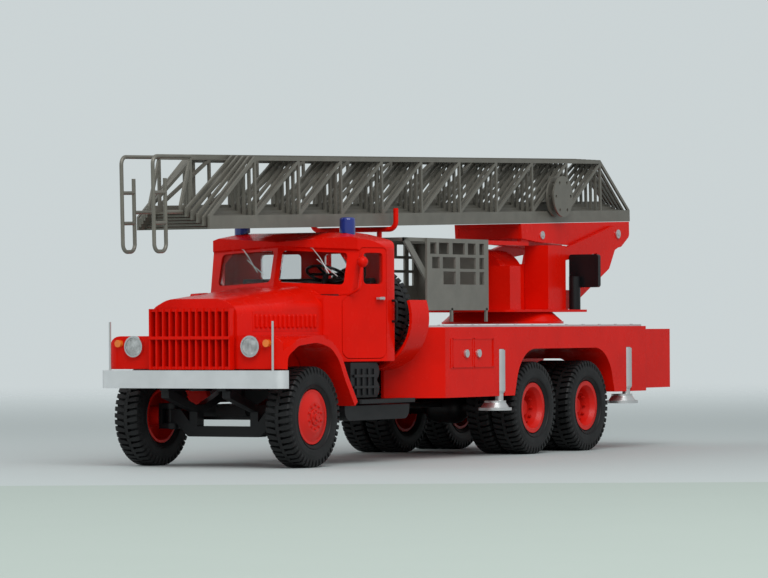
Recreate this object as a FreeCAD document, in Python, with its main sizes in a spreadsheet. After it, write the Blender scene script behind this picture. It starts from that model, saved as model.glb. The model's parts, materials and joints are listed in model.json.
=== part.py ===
import FreeCAD, Part
import math
import os
from types import SimpleNamespace
from FreeCAD import Placement, Rotation, Vector

# 1:43 scale model of a bonneted six-wheel fire engine with a turntable ladder.
# Millimetres. +X is the vehicle's left, +Y its rear, +Z up, the ground at zero.
# Stations are distances behind the front axle, widths are halves about the middle plane.

SIZES = {
    # whole vehicle
    "front_axle_y": -84.96,
    "bogie_station": 133.7,
    "bogie_spread": 32.6,
    "gap": 0.3,
    "fit": 0.05,
    "overrun": 1.0,
    # tyres and rims
    "tyre_radius": 13.0,
    "tyre_width": 7.4,
    "tyre_shoulder": 1.6,
    "lug_depth": 0.9,
    "rim_radius": 7.05,
    "rim_wall": 0.7,
    "rim_lip": 0.5,
    "hub_radius": 2.6,
    "hub_bore": 1.25,
    "rim_disc": 1.3,
    "front_track_half": 23.0,
    "rear_track_half": 20.6,
    "twin_spacing": 8.0,
    # frame
    "rail_half": 10.0,
    "rail_web": 1.2,
    "rail_flange": 2.6,
    "rail_low": 19.8,
    "rail_height": 5.4,
    "rail_front": 16.4,
    "rail_rear": 184.0,
    "cross_length": 3.2,
    "screw_radius": 1.25,
    "screw_boss": 3.0,
    # front axle and steering
    "beam_low": 7.7,
    "beam_height": 2.7,
    "beam_depth": 3.2,
    "beam_drop_half": 11.0,
    "kingpin_half": 17.0,
    "kingpin_radius": 0.8,
    "eye_radius": 1.5,
    "eye_height": 3.6,
    "lug_height": 1.4,
    "lug_half": 2.2,
    "plate_thick": 1.0,
    "spindle_radius": 1.2,
    "spindle_length": 4.6,
    "arm_length": 5.2,
    "arm_width": 1.6,
    "rod_pin": 0.45,
    "rod_eye": 1.0,
    "rod_height": 0.8,
    "rod_low": 12.0,
    # springs and rear axles
    "spring_half": 9.3,
    "spring_width": 2.4,
    "spring_thick": 1.8,
    "spring_seat": 14.2,
    "spring_reach": 15.0,
    "bogie_spring_thick": 3.4,
    "axle_tube_radius": 2.0,
    "axle_ball_radius": 4.6,
    "axle_end_radius": 1.2,
    "shaft_radius": 0.9,
    "gearbox_half": 4.0,
    "gearbox_length": 22.0,
    "gearbox_height": 9.0,
    # side equipment
    "tank_low": 11.5,
    "tank_height": 3.9,
    "tank_inner": 15.0,
    "tank_outer": 24.6,
    "tank_front": 18.5,
    "tank_rear": 52.4,
    "locker_front": 23.6,
    "locker_rear": 42.0,
    "locker_low": 17.4,
    "locker_high": 26.6,
    "locker_outer": 23.4,
    "canister_radius": 2.3,
    "board_front": 22.0,
    "board_rear": 51.0,
    "board_low": 15.9,
    "board_thick": 1.1,
    "board_inner": 22.0,
    "board_outer": 27.4,
    # bumper
    "bumper_half": 27.75,
    "bumper_front": 17.9,
    "bumper_thick": 1.2,
    "bumper_low": 20.5,
    "bumper_height": 4.6,
    "bumper_return": 3.4,
    "bumper_round": 2.4,
    # cab
    "cab_half": 25.6,
    "cab_front": 14.0,
    "cab_rear": 44.6,
    "cab_low": 26.9,
    "cowl_high": 44.0,
    "screen_foot_station": 26.6,
    "screen_foot": 47.0,
    "screen_head_station": 29.4,
    "screen_head": 57.2,
    "visor_station": 27.4,
    "visor_high": 58.9,
    "roof_high": 61.7,
    "roof_rear": 60.4,
    "roof_edge": 58.4,
    "roof_round": 3.4,
    "roof_arc": 9.9,
    "cab_corner": 4.0,
    "cab_wall": 1.1,
    "pane_half": 18.8,
    "pane_inner": 1.3,
    "pane_low": 48.0,
    "pane_high": 56.4,
    "pane_round": 0.8,
    "pane_thick": 0.4,
    "door_front": 19.0,
    "door_rear": 38.9,
    "door_low": 29.4,
    "door_high": 56.9,
    "door_seam": 0.15,
    "side_pane_front": 26.7,
    "side_pane_rear": 37.3,
    "side_pane_low": 47.3,
    "side_pane_high": 55.5,
    "rear_pane_inner": 3.6,
    "rear_pane_outer": 16.5,
    "rear_pane_low": 48.6,
    "rear_pane_high": 55.6,
    "dash_depth": 5.5,
    "dash_high": 46.6,
    "seat_front": 31.5,
    "seat_rear": 42.6,
    "seat_low": 31.0,
    "seat_thick": 4.6,
    "seat_back_high": 49.0,
    "seat_half": 20.0,
    "wheel_half": 9.6,
    "wheel_station": 34.5,
    "wheel_high": 50.0,
    "wheel_radius": 5.2,
    "wheel_rim": 0.4,
    "column_tilt": 65.0,
    # bonnet, wings and grille
    "bonnet_front": 15.4,
    "bonnet_front_half": 12.9,
    "bonnet_rear_half": 15.8,
    "bonnet_low": 25.4,
    "bonnet_shoulder_front": 40.9,
    "bonnet_shoulder_rear": 42.4,
    "bonnet_crown_front": 43.0,
    "bonnet_crown_rear": 46.6,
    "grille_recess": 5.0,
    "grille_half": 12.3,
    "grille_front": 17.9,
    "grille_depth": 2.3,
    "grille_low": 25.3,
    "grille_high": 40.9,
    "grille_bar_low": 33.0,
    "grille_bar": 0.8,
    "blade_thick": 0.5,
    "blade_count": 13,
    "wing_half": 27.9,
    "wing_thick": 1.3,
    "wing_top": 33.6,
    "lamp_panel_front": 15.9,
    "lamp_panel_thick": 1.2,
    "lamp_panel_half": 25.2,
    "lamp_half": 17.7,
    "lamp_high": 31.2,
    "lamp_radius": 2.75,
    "lamp_depth": 1.2,
    "lens_radius": 2.3,
    "turn_half": 22.5,
    "turn_high": 32.0,
    "turn_radius": 0.95,
    "marker_half": 24.7,
    "marker_radius": 0.3,
    "marker_high": 37.6,
    # fittings on the cab
    "beacon_half": 16.4,
    "beacon_station": 34.2,
    "beacon_radius": 2.1,
    "beacon_low": 60.9,
    "beacon_height": 4.1,
    "mirror_half": 30.6,
    "mirror_station": 17.6,
    "mirror_high": 52.6,
    "mirror_radius": 2.1,
    "mirror_depth": 1.8,
    "mirror_foot": 44.4,
    "mirror_arm": 0.4,
    "grab_low": 37.4,
    "grab_high": 42.9,
    "grab_radius": 0.35,
    # ladder rest behind the cab
    "rest_station": 65.5,
    "rest_half": 13.2,
    "rest_radius": 0.7,
    "rest_bar": 62.5,
    "rest_tip": 68.2,
    "rest_leg_half": 8.0,
    # spare wheel
    "spare_half": 13.0,
    "spare_front": 45.2,
    "spare_high": 39.6,
    "guard_thick": 0.8,
    # rear body
    "body_half": 29.06,
    "body_front": 54.4,
    "body_front_half": 15.5,
    "body_side_front": 64.3,
    "body_low": 16.7,
    "body_high": 35.8,
    "body_rear": 186.0,
    "tail_rear": 203.8,
    "tail_step": 0.9,
    "tail_low": 17.5,
    "body_skirt": 1.4,
    "floor_low": 26.4,
    "arch_front": 103.9,
    "arch_rear": 165.4,
    "arch_high": 29.6,
    "arch_round": 11.5,
    "deck_thick": 0.5,
    "deck_inset": 1.0,
    "deck_front": 56.0,
    "hatch_front": 67.2,
    "hatch_length": 23.0,
    "hatch_low": 24.6,
    "hatch_high": 32.6,
    "hatch_proud": 0.15,
    "knob_radius": 1.1,
    "knob_proud": 0.6,
    "lamp_bar_width": 5.0,
    "lamp_bar_height": 2.4,
    "lamp_bar_thick": 0.6,
    # jacks
    "jack_half": 29.2,
    "jack_front": 96.4,
    "jack_rear": 174.6,
    "jack_radius": 1.45,
    "jack_high": 29.4,
    "jack_foot": 12.7,
    "jack_foot_radius": 5.4,
    "jack_foot_thick": 0.8,
    "jack_cone_radius": 3.9,
    "jack_cone_high": 14.6,
    "rear_foot_radius": 3.2,
    "rear_foot": 14.2,
    # turntable
    "table_station": 150.7,
    "table_radius": 16.6,
    "table_top_radius": 13.6,
    "table_height": 3.4,
    "plate_front": 129.0,
    "plate_rear": 181.0,
    "plate_half": 14.4,
    "plate_high": 0.7,
    "plate_corner": 3.0,
    "block_front": 131.0,
    "block_rear": 137.0,
    "block_half": 13.0,
    "block_high": 52.0,
    "column_half": 6.2,
    "column_rear": 172.0,
    "column_high": 58.6,
    "column_round": 5.0,
    "console_inner": 6.5,
    "console_outer": 14.0,
    "console_front": 152.9,
    "console_rear": 163.9,
    "console_high": 59.4,
    "cheek_outer": 8.4,
    "cheek_thick": 1.4,
    "pivot_station": 200.5,
    "pivot_high": 63.5,
    "pivot_radius": 1.2,
    "pivot_boss": 3.2,
    "seat_back_front": 175.0,
    "seat_back_inner": 8.8,
    "seat_back_outer": 18.4,
    "seat_back_low": 47.8,
    "seat_back_top": 57.4,
    "pad_thick": 1.6,
    "cushion_front": 166.0,
    "cushion_high": 49.4,
    "cushion_thick": 3.0,
    "pedestal_radius": 1.7,
    # ladder
    "ladder_tilt": 1.6,
    "ladder_rise": 3.75,
    "carrier_outer": 11.0,
    "carrier_thick": 1.2,
    "carrier_front": 97.8,
    "carrier_depth": 3.4,
    "carrier_tail": 10.8,
    "base_front": 225.6,
    "base_rear": 11.6,
    "base_half": 11.0,
    "nest_step": 1.2,
    "nest_rise": 0.8,
    "nest_reach": 0.8,
    "truss_thick": 0.6,
    "truss_height": 18.5,
    "chord_height": 3.4,
    "inner_chord": 2.2,
    "top_rail": 1.1,
    "brace": 0.9,
    "apex_setback": 22.4,
    "fly_setback": 5.2,
    "tail_setback": 19.0,
    "rung_pitch": 7.0,
    "rung_size": 0.55,
    "bay_count": 9,
    "extension": 190.0,
    "loop_front": 12.0,
    "loop_low": 9.4,
    "loop_radius": 0.5,
    "loop_width": 5.4,
    "reel_u": 37.8,
    "reel_w": 7.6,
    "reel_radius": 6.0,
    "reel_width": 3.2,
    "reel_disc": 0.5,
    "reel_core": 3.4,
    # lift cage under the ladder
    "cage_half": 11.8,
    "cage_front": 85.2,
    "cage_rear": 120.6,
    "cage_low": 40.5,
    "cage_height": 20.0,
    "cage_plate": 0.6,
    "cage_kick": 6.8,
    "cage_bar": 1.0,
    "cage_strut": 11.6,
    "cage_leg": 3.2,
}

doc = FreeCAD.newDocument("FireEngine")
sheet = doc.addObject("Spreadsheet::Sheet", "Sizes")
for row, (name, value) in enumerate(SIZES.items(), start=1):
    sheet.set(f"A{row}", name)
    sheet.set(f"B{row}", str(value))
    sheet.setAlias(f"B{row}", name)
doc.recompute()
size = SimpleNamespace(**{name: float(sheet.get(name)) for name in SIZES})

NODES = {}
EDGE_TINY = 1e-6


def station(distance):
    """The frame's Y of a place that lies this far behind the front axle."""
    return size.front_axle_y + distance


def bind(thing, field, amount):
    """Set a field to a number, or bind it to the sheet when an expression is given."""
    if isinstance(amount, str):
        thing.setExpression(field, amount)
    elif field.count("."):
        raise ValueError(field)
    else:
        setattr(thing, field, amount)


def curve_edges(points):
    """Lines and corner arcs of a closed outline; a third number in a point is its corner radius."""
    corners = []
    for index, point in enumerate(points):
        here = Vector(point[0], point[1], 0)
        if len(point) < 3 or not point[2]:
            corners.append((here, None, here))
            continue
        before = (Vector(*points[index - 1][:2], 0) - here).normalize()
        after = (Vector(*points[(index + 1) % len(points)][:2], 0) - here).normalize()
        half_turn = before.getAngle(after) / 2
        run = point[2] / math.tan(half_turn)
        inward = (before + after).normalize()
        middle = here + inward * (point[2] / math.sin(half_turn) - point[2])
        corners.append((here + before * run, middle, here + after * run))
    edges = []
    for index, (start, middle, end) in enumerate(corners):
        if middle is not None:
            edges.append(Part.Arc(start, middle, end))
        following = corners[(index + 1) % len(corners)][0]
        if end.distanceToPoint(following) > EDGE_TINY:
            edges.append(Part.LineSegment(end, following))
    return edges


def draw(sketch, loops):
    """Add outlines, and circles given as (x, y, radius) inside a dict, to a sketch."""
    for loop in loops:
        if isinstance(loop, dict):
            centre = Vector(*loop["centre"], 0)
            sketch.addGeometry(Part.Circle(centre, Vector(0, 0, 1), loop["radius"]), False)
        else:
            for edge in curve_edges(loop):
                sketch.addGeometry(edge, False)


def sketch_on(body, name, plane, start=0):
    """A sketch on one of the body's origin planes, moved along the plane's normal."""
    sketch = body.newObject("Sketcher::SketchObject", name)
    datum = [item for item in body.Origin.OriginFeatures if item.Role == plane + "_Plane"]
    sketch.AttachmentSupport = [(datum[0], "")]
    sketch.MapMode = "FlatFace"
    sign = -1 if plane == "XZ" else 1
    sketch.AttachmentOffset = Placement(Vector(0, 0, sign * start), Rotation())
    return sketch


def new_body(name):
    return doc.addObject("PartDesign::Body", name)


def pad(name, plane, start, length, *loops, body=None):
    """A body padded from one sketch, from start towards the plane's positive axis."""
    body = body or new_body(name)
    sketch = sketch_on(body, name + "_sketch", plane, start)
    draw(sketch, loops)
    feature = body.newObject("PartDesign::Pad", name + "_pad")
    feature.Profile = sketch
    bind(feature, "Length", length)
    feature.Reversed = plane == "XZ"
    return body


def pocket(body, name, plane, start, length, *loops):
    """Cut outlines out of a body, from start towards the plane's positive axis."""
    sketch = sketch_on(body, name + "_sketch", plane, start)
    draw(sketch, loops)
    feature = body.newObject("PartDesign::Pocket", name + "_pocket")
    feature.Profile = sketch
    bind(feature, "Length", length)
    feature.Reversed = plane != "XZ"
    return body


def turn(name, profile, axis="H_Axis", plane="XY"):
    """A body turned about one axis of its sketch."""
    body = new_body(name)
    sketch = sketch_on(body, name + "_sketch", plane)
    draw(sketch, [profile])
    feature = body.newObject("PartDesign::Revolution", name + "_turn")
    feature.Profile = sketch
    feature.ReferenceAxis = (sketch, [axis])
    feature.Angle = 360
    return body


def box(name, low, high):
    """A block between two corners."""
    block = doc.addObject("Part::Box", name)
    block.Length, block.Width, block.Height = [b - a for a, b in zip(low, high)]
    block.Placement = Placement(Vector(*low), Rotation())
    return block


TURN_TO = {"X": Rotation(Vector(0, 1, 0), 90), "Y": Rotation(Vector(1, 0, 0), -90), "Z": Rotation()}


def rod(name, start, axis, length, radius):
    """A cylinder from a point along +X, +Y or +Z."""
    cylinder = doc.addObject("Part::Cylinder", name)
    bind(cylinder, "Radius", radius)
    bind(cylinder, "Height", length)
    cylinder.Placement = Placement(Vector(*start), TURN_TO[axis])
    return cylinder


def cone(name, start, axis, length, radius_start, radius_end):
    """A truncated cone from a point along +X, +Y or +Z."""
    shape = doc.addObject("Part::Cone", name)
    shape.Radius1, shape.Radius2, shape.Height = radius_start, radius_end, length
    shape.Placement = Placement(Vector(*start), TURN_TO[axis])
    return shape


def fuse(name, parts):
    joined = doc.addObject("Part::MultiFuse", name)
    joined.Shapes = parts
    return joined


def gather(name, parts):
    """Solids that don't touch, kept in one node."""
    group = doc.addObject("Part::Compound", name)
    group.Links = parts
    return group


def cut(name, base, tool):
    result = doc.addObject("Part::Cut", name)
    result.Base, result.Tool = base, tool
    return result


def mirrored(name, source):
    twin = doc.addObject("Part::Mirroring", name)
    twin.Source = source
    twin.Normal = Vector(1, 0, 0)
    return twin


def both_sides(name, left):
    """The left piece and its mirror image in one node."""
    return gather(name, [left, mirrored(name + "_right", left)])


def shape_of(name, shape, placement=None):
    """A feature whose shape is worked out here."""
    feature = doc.addObject("Part::Feature", name)
    feature.Shape = shape
    if placement is not None:
        feature.Placement = placement
    return feature


def pipe_shape(points, radius, bend):
    """A round tube along straight runs joined by arcs of one radius."""
    vectors = [Vector(*point) for point in points]
    edges = []
    last = vectors[0]
    for before, here, after in zip(vectors, vectors[1:], vectors[2:]):
        back = (before - here).normalize()
        on = (after - here).normalize()
        half_turn = back.getAngle(on) / 2
        run = bend / math.tan(half_turn)
        middle = here + (back + on).normalize() * (bend / math.sin(half_turn) - bend)
        start, end = here + back * run, here + on * run
        if last.distanceToPoint(start) > EDGE_TINY:
            edges.append(Part.LineSegment(last, start).toShape())
        edges.append(Part.Arc(start, middle, end).toShape())
        last = end
    edges.append(Part.LineSegment(last, vectors[-1]).toShape())
    path = Part.Wire(edges)
    direction = vectors[1] - vectors[0]
    ring = Part.Wire(Part.Circle(vectors[0], direction, radius).toShape())
    return path.makePipeShell([ring], True, False)


def keep(node, thing):
    """Name the finished object; its label is the node's name."""
    thing.Label = node
    NODES[node] = thing
    return thing


# Wheels


def tyre_profile(outer, inner, width, shoulder):
    """Half section of a tyre in (along the axle, radius)."""
    half = width / 2
    bead = half - shoulder / 2
    return [
        (-bead, inner),
        (bead, inner),
        (half, inner + shoulder, shoulder),
        (half, outer - shoulder, shoulder),
        (half - shoulder, outer, shoulder / 2),
        (shoulder - half, outer, shoulder / 2),
        (-half, outer - shoulder, shoulder),
        (-half, inner + shoulder, shoulder),
    ]


def tyre(name, centre):
    body = turn(name, tyre_profile(size.tyre_radius, size.rim_radius, size.tyre_width, size.tyre_shoulder))
    body.Placement = Placement(Vector(*centre), Rotation())
    return body


def front_rim(name, side, centre):
    """A rim with a bulged outer disc and a hub bored from inside for the spindle."""
    half = size.tyre_width / 2 - size.tyre_shoulder / 2
    barrel = size.rim_radius - size.rim_wall
    face = half - size.rim_lip
    bulge = face + size.rim_disc
    hub_start = size.kingpin_half + size.eye_radius + size.plate_thick + size.gap - size.front_track_half
    profile = [
        (-half * side, barrel),
        (-half * side, size.rim_radius),
        (half * side, size.rim_radius),
        (half * side, barrel),
        (bulge * side, size.hub_radius + size.rim_disc),
        (bulge * side, 0),
        ((bulge - size.rim_disc) * side, 0),
        ((bulge - size.rim_disc) * side, size.hub_bore),
        (hub_start * side, size.hub_bore),
        (hub_start * side, size.hub_radius),
        ((face - size.rim_disc) * side, size.hub_radius),
        ((face - size.rim_disc) * side, barrel),
    ]
    body = turn(name, profile)
    body.Placement = Placement(Vector(*centre), Rotation())
    return body


def rear_rim(name, side, centre):
    """Both rims of a twin pair, joined through the dished outer disc and the hub."""
    out = size.twin_spacing / 2
    half = size.tyre_width / 2 - size.tyre_shoulder / 2
    barrel = size.rim_radius - size.rim_wall
    bore = size.axle_end_radius + size.fit
    dish = size.rim_disc
    profile = [
        (-(out + half) * side, barrel),
        (-(out + half) * side, size.rim_radius),
        ((half - out) * side, size.rim_radius),
        ((half - out) * side, barrel + EDGE_TINY),
        ((out - half) * side, barrel + EDGE_TINY),
        ((out - half) * side, size.rim_radius),
        ((out + half) * side, size.rim_radius),
        ((out + half) * side, barrel - size.rim_lip),
        ((out + half - dish) * side, barrel - dish),
        (dish * side, barrel - dish * 2),
        (dish * side, size.hub_radius),
        (out * side, size.hub_radius - size.rim_lip),
        (out * side, 0),
        ((out - dish) * side, 0),
        ((out - dish) * side, bore),
        (-out * side, bore),
        (-out * side, size.hub_radius),
        (0, size.hub_radius),
        (0, barrel),
    ]
    body = turn(name, profile)
    body.Placement = Placement(Vector(*centre), Rotation())
    return body


def make_wheels():
    for label, side in (("left", 1), ("right", -1)):
        centre = (side * size.front_track_half, station(0), size.tyre_radius)
        keep(f"front_{label}_tyre", tyre(f"front_{label}_tyre", centre))
        keep(f"front_{label}_rim", front_rim(f"front_{label}_rim", side, centre))
        for number in (1, 2):
            name = f"rear_{number}_{label}"
            along = station(size.bogie_station + (number * 2 - 3) * size.bogie_spread / 2)
            pair = []
            for place, offset in (("inner", -size.twin_spacing / 2), ("outer", size.twin_spacing / 2)):
                middle = (side * (size.rear_track_half + offset), along, size.tyre_radius)
                pair.append(tyre(f"{name}_{place}_tyre", middle))
            keep(f"{name}_tyres", gather(f"{name}_tyres", pair))
            centre = (side * size.rear_track_half, along, size.tyre_radius)
            keep(f"{name}_rims", rear_rim(f"{name}_rims", side, centre))


# Frame, axles and steering


def make_frame():
    """Two channel rails and the cross members between them."""
    rail_top = size.rail_low + size.rail_height
    web = size.rail_web
    section = [
        (size.rail_half, size.rail_low),
        (size.rail_half, rail_top),
        (size.rail_half - size.rail_flange, rail_top),
        (size.rail_half - size.rail_flange, rail_top - web),
        (size.rail_half - web, rail_top - web),
        (size.rail_half - web, size.rail_low + web),
        (size.rail_half - size.rail_flange, size.rail_low + web),
        (size.rail_half - size.rail_flange, size.rail_low),
    ]
    length = "Sizes.rail_front + Sizes.rail_rear"
    rail = pad("rail", "XZ", station(-size.rail_front), length, section)
    parts = [rail, mirrored("rail_right", rail)]
    inner = size.rail_half - web
    middle = size.rail_low + size.rail_height / 2
    for index, share in enumerate(CROSS_MEMBER_SHARES):
        along = station(-size.rail_front + share * (size.rail_front + size.rail_rear))
        low = (-inner, along - size.cross_length / 2, middle - web)
        high = (inner, along + size.cross_length / 2, middle + web)
        beam = box(f"cross_{index}", low, high)
        if index in SCREWED_CROSS_MEMBERS:
            boss = rod(f"boss_{index}", (0, along, size.rail_low), "Z", size.rail_height / 2, size.screw_boss)
            hole = rod(f"screw_{index}", (0, along, 0), "Z", middle + size.overrun * 2, size.screw_radius)
            beam = cut(f"bored_{index}", fuse(f"bossed_{index}", [beam, boss]), hole)
        parts.append(beam)
    keep("frame_rails", fuse("frame_rails", parts))


CROSS_MEMBER_SHARES = [0.02, 0.2, 0.36, 0.52, 0.645, 0.84, 0.985]
SCREWED_CROSS_MEMBERS = (0, 6)


def make_axles():
    """The dropped front beam with its kingpins, and two driven rear axles."""
    low, height, half_depth = size.beam_low, size.beam_height, size.beam_depth / 2
    end_low = size.tyre_radius - size.eye_height / 2
    end = size.kingpin_half - size.eye_radius / 2
    outline = [
        (-size.beam_drop_half, low, height / 2),
        (size.beam_drop_half, low, height / 2),
        (end - size.eye_radius, end_low, height / 4),
        (end, end_low),
        (end, end_low + size.eye_height),
        (end - size.eye_radius * 2, end_low + size.eye_height, height / 2),
        (size.beam_drop_half - size.eye_radius, low + height, height / 2),
        (size.eye_radius - size.beam_drop_half, low + height, height / 2),
        (size.eye_radius * 2 - end, end_low + size.eye_height, height / 2),
        (-end, end_low + size.eye_height),
        (-end, end_low),
        (size.eye_radius - end, end_low, height / 4),
    ]
    parts = [pad("front_beam", "XZ", station(0) - half_depth, "Sizes.beam_depth", outline)]
    pin_length = size.eye_height + 2 * (size.lug_height + size.gap)
    for label, side in (("left", 1), ("right", -1)):
        foot = (side * size.kingpin_half, station(0), end_low)
        parts.append(rod(f"{label}_eye", foot, "Z", "Sizes.eye_height", "Sizes.eye_radius"))
        pin_foot = (foot[0], foot[1], end_low - size.lug_height - size.gap)
        parts.append(rod(f"{label}_kingpin", pin_foot, "Z", pin_length, "Sizes.kingpin_radius"))
        seat_low = low + height - size.gap
        seat_x = side * size.spring_half - size.spring_width / 2
        seat = (seat_x, station(0) - half_depth, seat_low)
        seat_top = (seat_x + size.spring_width, station(0) + half_depth, size.spring_seat)
        parts.append(box(f"{label}_spring_seat", seat, seat_top))
    axles = [fuse("front_axle", parts)]
    axle_end = size.rear_track_half + size.twin_spacing / 2 - size.rim_disc - size.gap
    tube_end = size.rear_track_half - size.twin_spacing / 2 - size.tyre_width / 2 - size.gap
    for number in (1, 2):
        along = station(size.bogie_station + (number * 2 - 3) * size.bogie_spread / 2)
        tube, spindle, ball = size.axle_tube_radius, size.axle_end_radius, size.axle_ball_radius
        axle = turn(f"rear_axle_{number}", [
            (-axle_end, 0),
            (-axle_end, spindle),
            (-tube_end, spindle),
            (-tube_end, tube),
            (-ball - tube, tube, tube),
            (-ball * ROUND_SHARE, ball, ball * ROUND_SHARE),
            (ball * ROUND_SHARE, ball, ball * ROUND_SHARE),
            (ball + tube, tube, tube),
            (tube_end, tube),
            (tube_end, spindle),
            (axle_end, spindle),
            (axle_end, 0),
        ])
        axle.Placement = Placement(Vector(0, along, size.tyre_radius), Rotation())
        axles.append(axle)
    keep("axles", gather("axles", axles))


def make_knuckle(label, side):
    """Two lugs round the kingpin, the plate that joins them, the spindle and the steering arm."""
    pin_x = side * size.kingpin_half
    end_low = size.tyre_radius - size.eye_height / 2
    play = size.gap / 3
    plate_inner = size.eye_radius + play
    plate_outer = plate_inner + size.plate_thick
    lug_outline = [
        (pin_x - side * size.lug_half, station(0) - size.lug_half, size.lug_half * ROUND_SHARE),
        (pin_x + side * plate_outer, station(0) - size.lug_half),
        (pin_x + side * plate_outer, station(0) + size.lug_half),
        (pin_x - side * size.lug_half, station(0) + size.lug_half, size.lug_half * ROUND_SHARE),
    ]
    arm_end = station(size.arm_length)
    arm_half = size.arm_width / 2
    arm_outline = [
        (pin_x - arm_half, station(size.lug_half / 2)),
        (pin_x + arm_half, station(size.lug_half / 2)),
        (pin_x + arm_half, arm_end + arm_half, arm_half * ROUND_SHARE),
        (pin_x - arm_half, arm_end + arm_half, arm_half * ROUND_SHARE),
    ]
    bore = {"centre": (pin_x, station(0)), "radius": size.kingpin_radius + size.fit}
    low = end_low - play - size.lug_height
    high = end_low + size.eye_height + play
    name = f"{label}_knuckle"
    lower = pad(f"{name}_lower", "XY", low, "Sizes.lug_height", lug_outline, bore)
    upper = pad(f"{name}_upper", "XY", high, "Sizes.lug_height", lug_outline, bore)
    plate_low = (min(side * plate_inner, side * plate_outer) + pin_x, station(0) - size.lug_half, low)
    plate_high = (
        max(side * plate_inner, side * plate_outer) + pin_x,
        station(0) + size.lug_half,
        high + size.lug_height,
    )
    plate = box(f"{name}_plate", plate_low, plate_high)
    start = pin_x + side * plate_inner
    if side < 0:
        start -= size.spindle_length + size.plate_thick
    spindle_foot = (start, station(0), size.tyre_radius)
    spindle_run = "Sizes.spindle_length + Sizes.plate_thick"
    spindle = rod(f"{name}_spindle", spindle_foot, "X", spindle_run, "Sizes.spindle_radius")
    arm = pad(f"{name}_arm", "XY", low, "Sizes.lug_height", arm_outline)
    pin = rod(f"{name}_pin", (pin_x, arm_end, low), "Z", rod_top() - low, "Sizes.rod_pin")
    keep(name, fuse(name, [lower, upper, plate, spindle, arm, pin]))


ROUND_SHARE = 0.96


def rod_top():
    """Top of the pins that carry the tie rod."""
    return size.rod_low + size.rod_height + size.gap


def make_tie_rod():
    """A flat bar between the two steering arms with a bored eye at each end."""
    along = station(size.arm_length)
    half = size.rod_eye
    bar = [
        (-size.kingpin_half - half, along - half, half * ROUND_SHARE),
        (size.kingpin_half + half, along - half, half * ROUND_SHARE),
        (size.kingpin_half + half, along + half, half * ROUND_SHARE),
        (-size.kingpin_half - half, along + half, half * ROUND_SHARE),
    ]
    holes = [
        {"centre": (side * size.kingpin_half, along), "radius": size.rod_pin + size.fit}
        for side in (1, -1)
    ]
    keep("tie_rod", pad("tie_rod", "XY", size.rod_low, "Sizes.rod_height", bar, *holes))


def make_springs():
    """Leaf springs under the rails: two at the front, two over the bogie."""
    inner = size.spring_half - size.spring_width / 2
    front_low = size.spring_seat
    rise = size.rail_low - front_low - size.spring_thick
    reach = size.spring_reach
    thick = size.spring_thick
    front = [
        (station(-reach), front_low + rise, thick / 4),
        (station(-reach * SPRING_SEAT_SHARE), front_low, thick),
        (station(reach * SPRING_SEAT_SHARE), front_low, thick),
        (station(reach), front_low + rise, thick / 4),
        (station(reach), size.rail_low),
        (station(reach * SPRING_EYE_SHARE), size.rail_low, thick / 2),
        (station(reach * SPRING_SEAT_SHARE), front_low + thick, thick),
        (station(-reach * SPRING_SEAT_SHARE), front_low + thick, thick),
        (station(-reach * SPRING_EYE_SHARE), size.rail_low, thick / 2),
        (station(-reach), size.rail_low),
    ]
    middle = station(size.bogie_station)
    spread = size.bogie_spread / 2 - size.axle_tube_radius / 2
    seat = size.tyre_radius + size.axle_tube_radius + size.gap
    bogie = [
        (middle - spread, seat, thick / 4),
        (middle + spread, seat, thick / 4),
        (middle + spread, seat + thick / 2),
        (middle + size.spring_width, size.rail_low, thick),
        (middle - size.spring_width, size.rail_low, thick),
        (middle - spread, seat + thick / 2),
    ]
    left = gather("left_springs", [
        pad("front_spring", "YZ", inner, "Sizes.spring_width", front),
        pad("bogie_spring", "YZ", inner, "Sizes.spring_width", bogie),
    ])
    keep("leaf_springs", both_sides("leaf_springs", left))


SPRING_SEAT_SHARE = 0.14
SPRING_EYE_SHARE = 0.86


def make_drive_line():
    """The gearbox hung between the rails and the shafts to the two rear axles."""
    half = size.gearbox_half
    high = size.rail_low + size.rail_height / 2 - size.rail_web - size.gap
    low = high - size.gearbox_height
    front = station(size.tank_front - size.cross_length)
    gearbox = pad("gearbox", "XZ", front, "Sizes.gearbox_length", [
        (-half, low, half / 2),
        (half, low, half / 2),
        (half, high),
        (-half, high),
    ])
    shaft_start = front + size.gearbox_length
    first = station(size.bogie_station - size.bogie_spread / 2)
    height = size.tyre_radius + size.axle_tube_radius / 2
    run = first - size.axle_ball_radius - shaft_start
    shaft = rod("main_shaft", (0, shaft_start, height), "Y", run, "Sizes.shaft_radius")
    second_start = first + size.axle_ball_radius
    second_run = size.bogie_spread - 2 * size.axle_ball_radius
    short = rod("bogie_shaft", (0, second_start, height), "Y", second_run, "Sizes.shaft_radius")
    keep("drive_line", gather("drive_line", [fuse("gearbox_and_shaft", [gearbox, shaft]), short]))


# Side equipment and bumper


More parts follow.
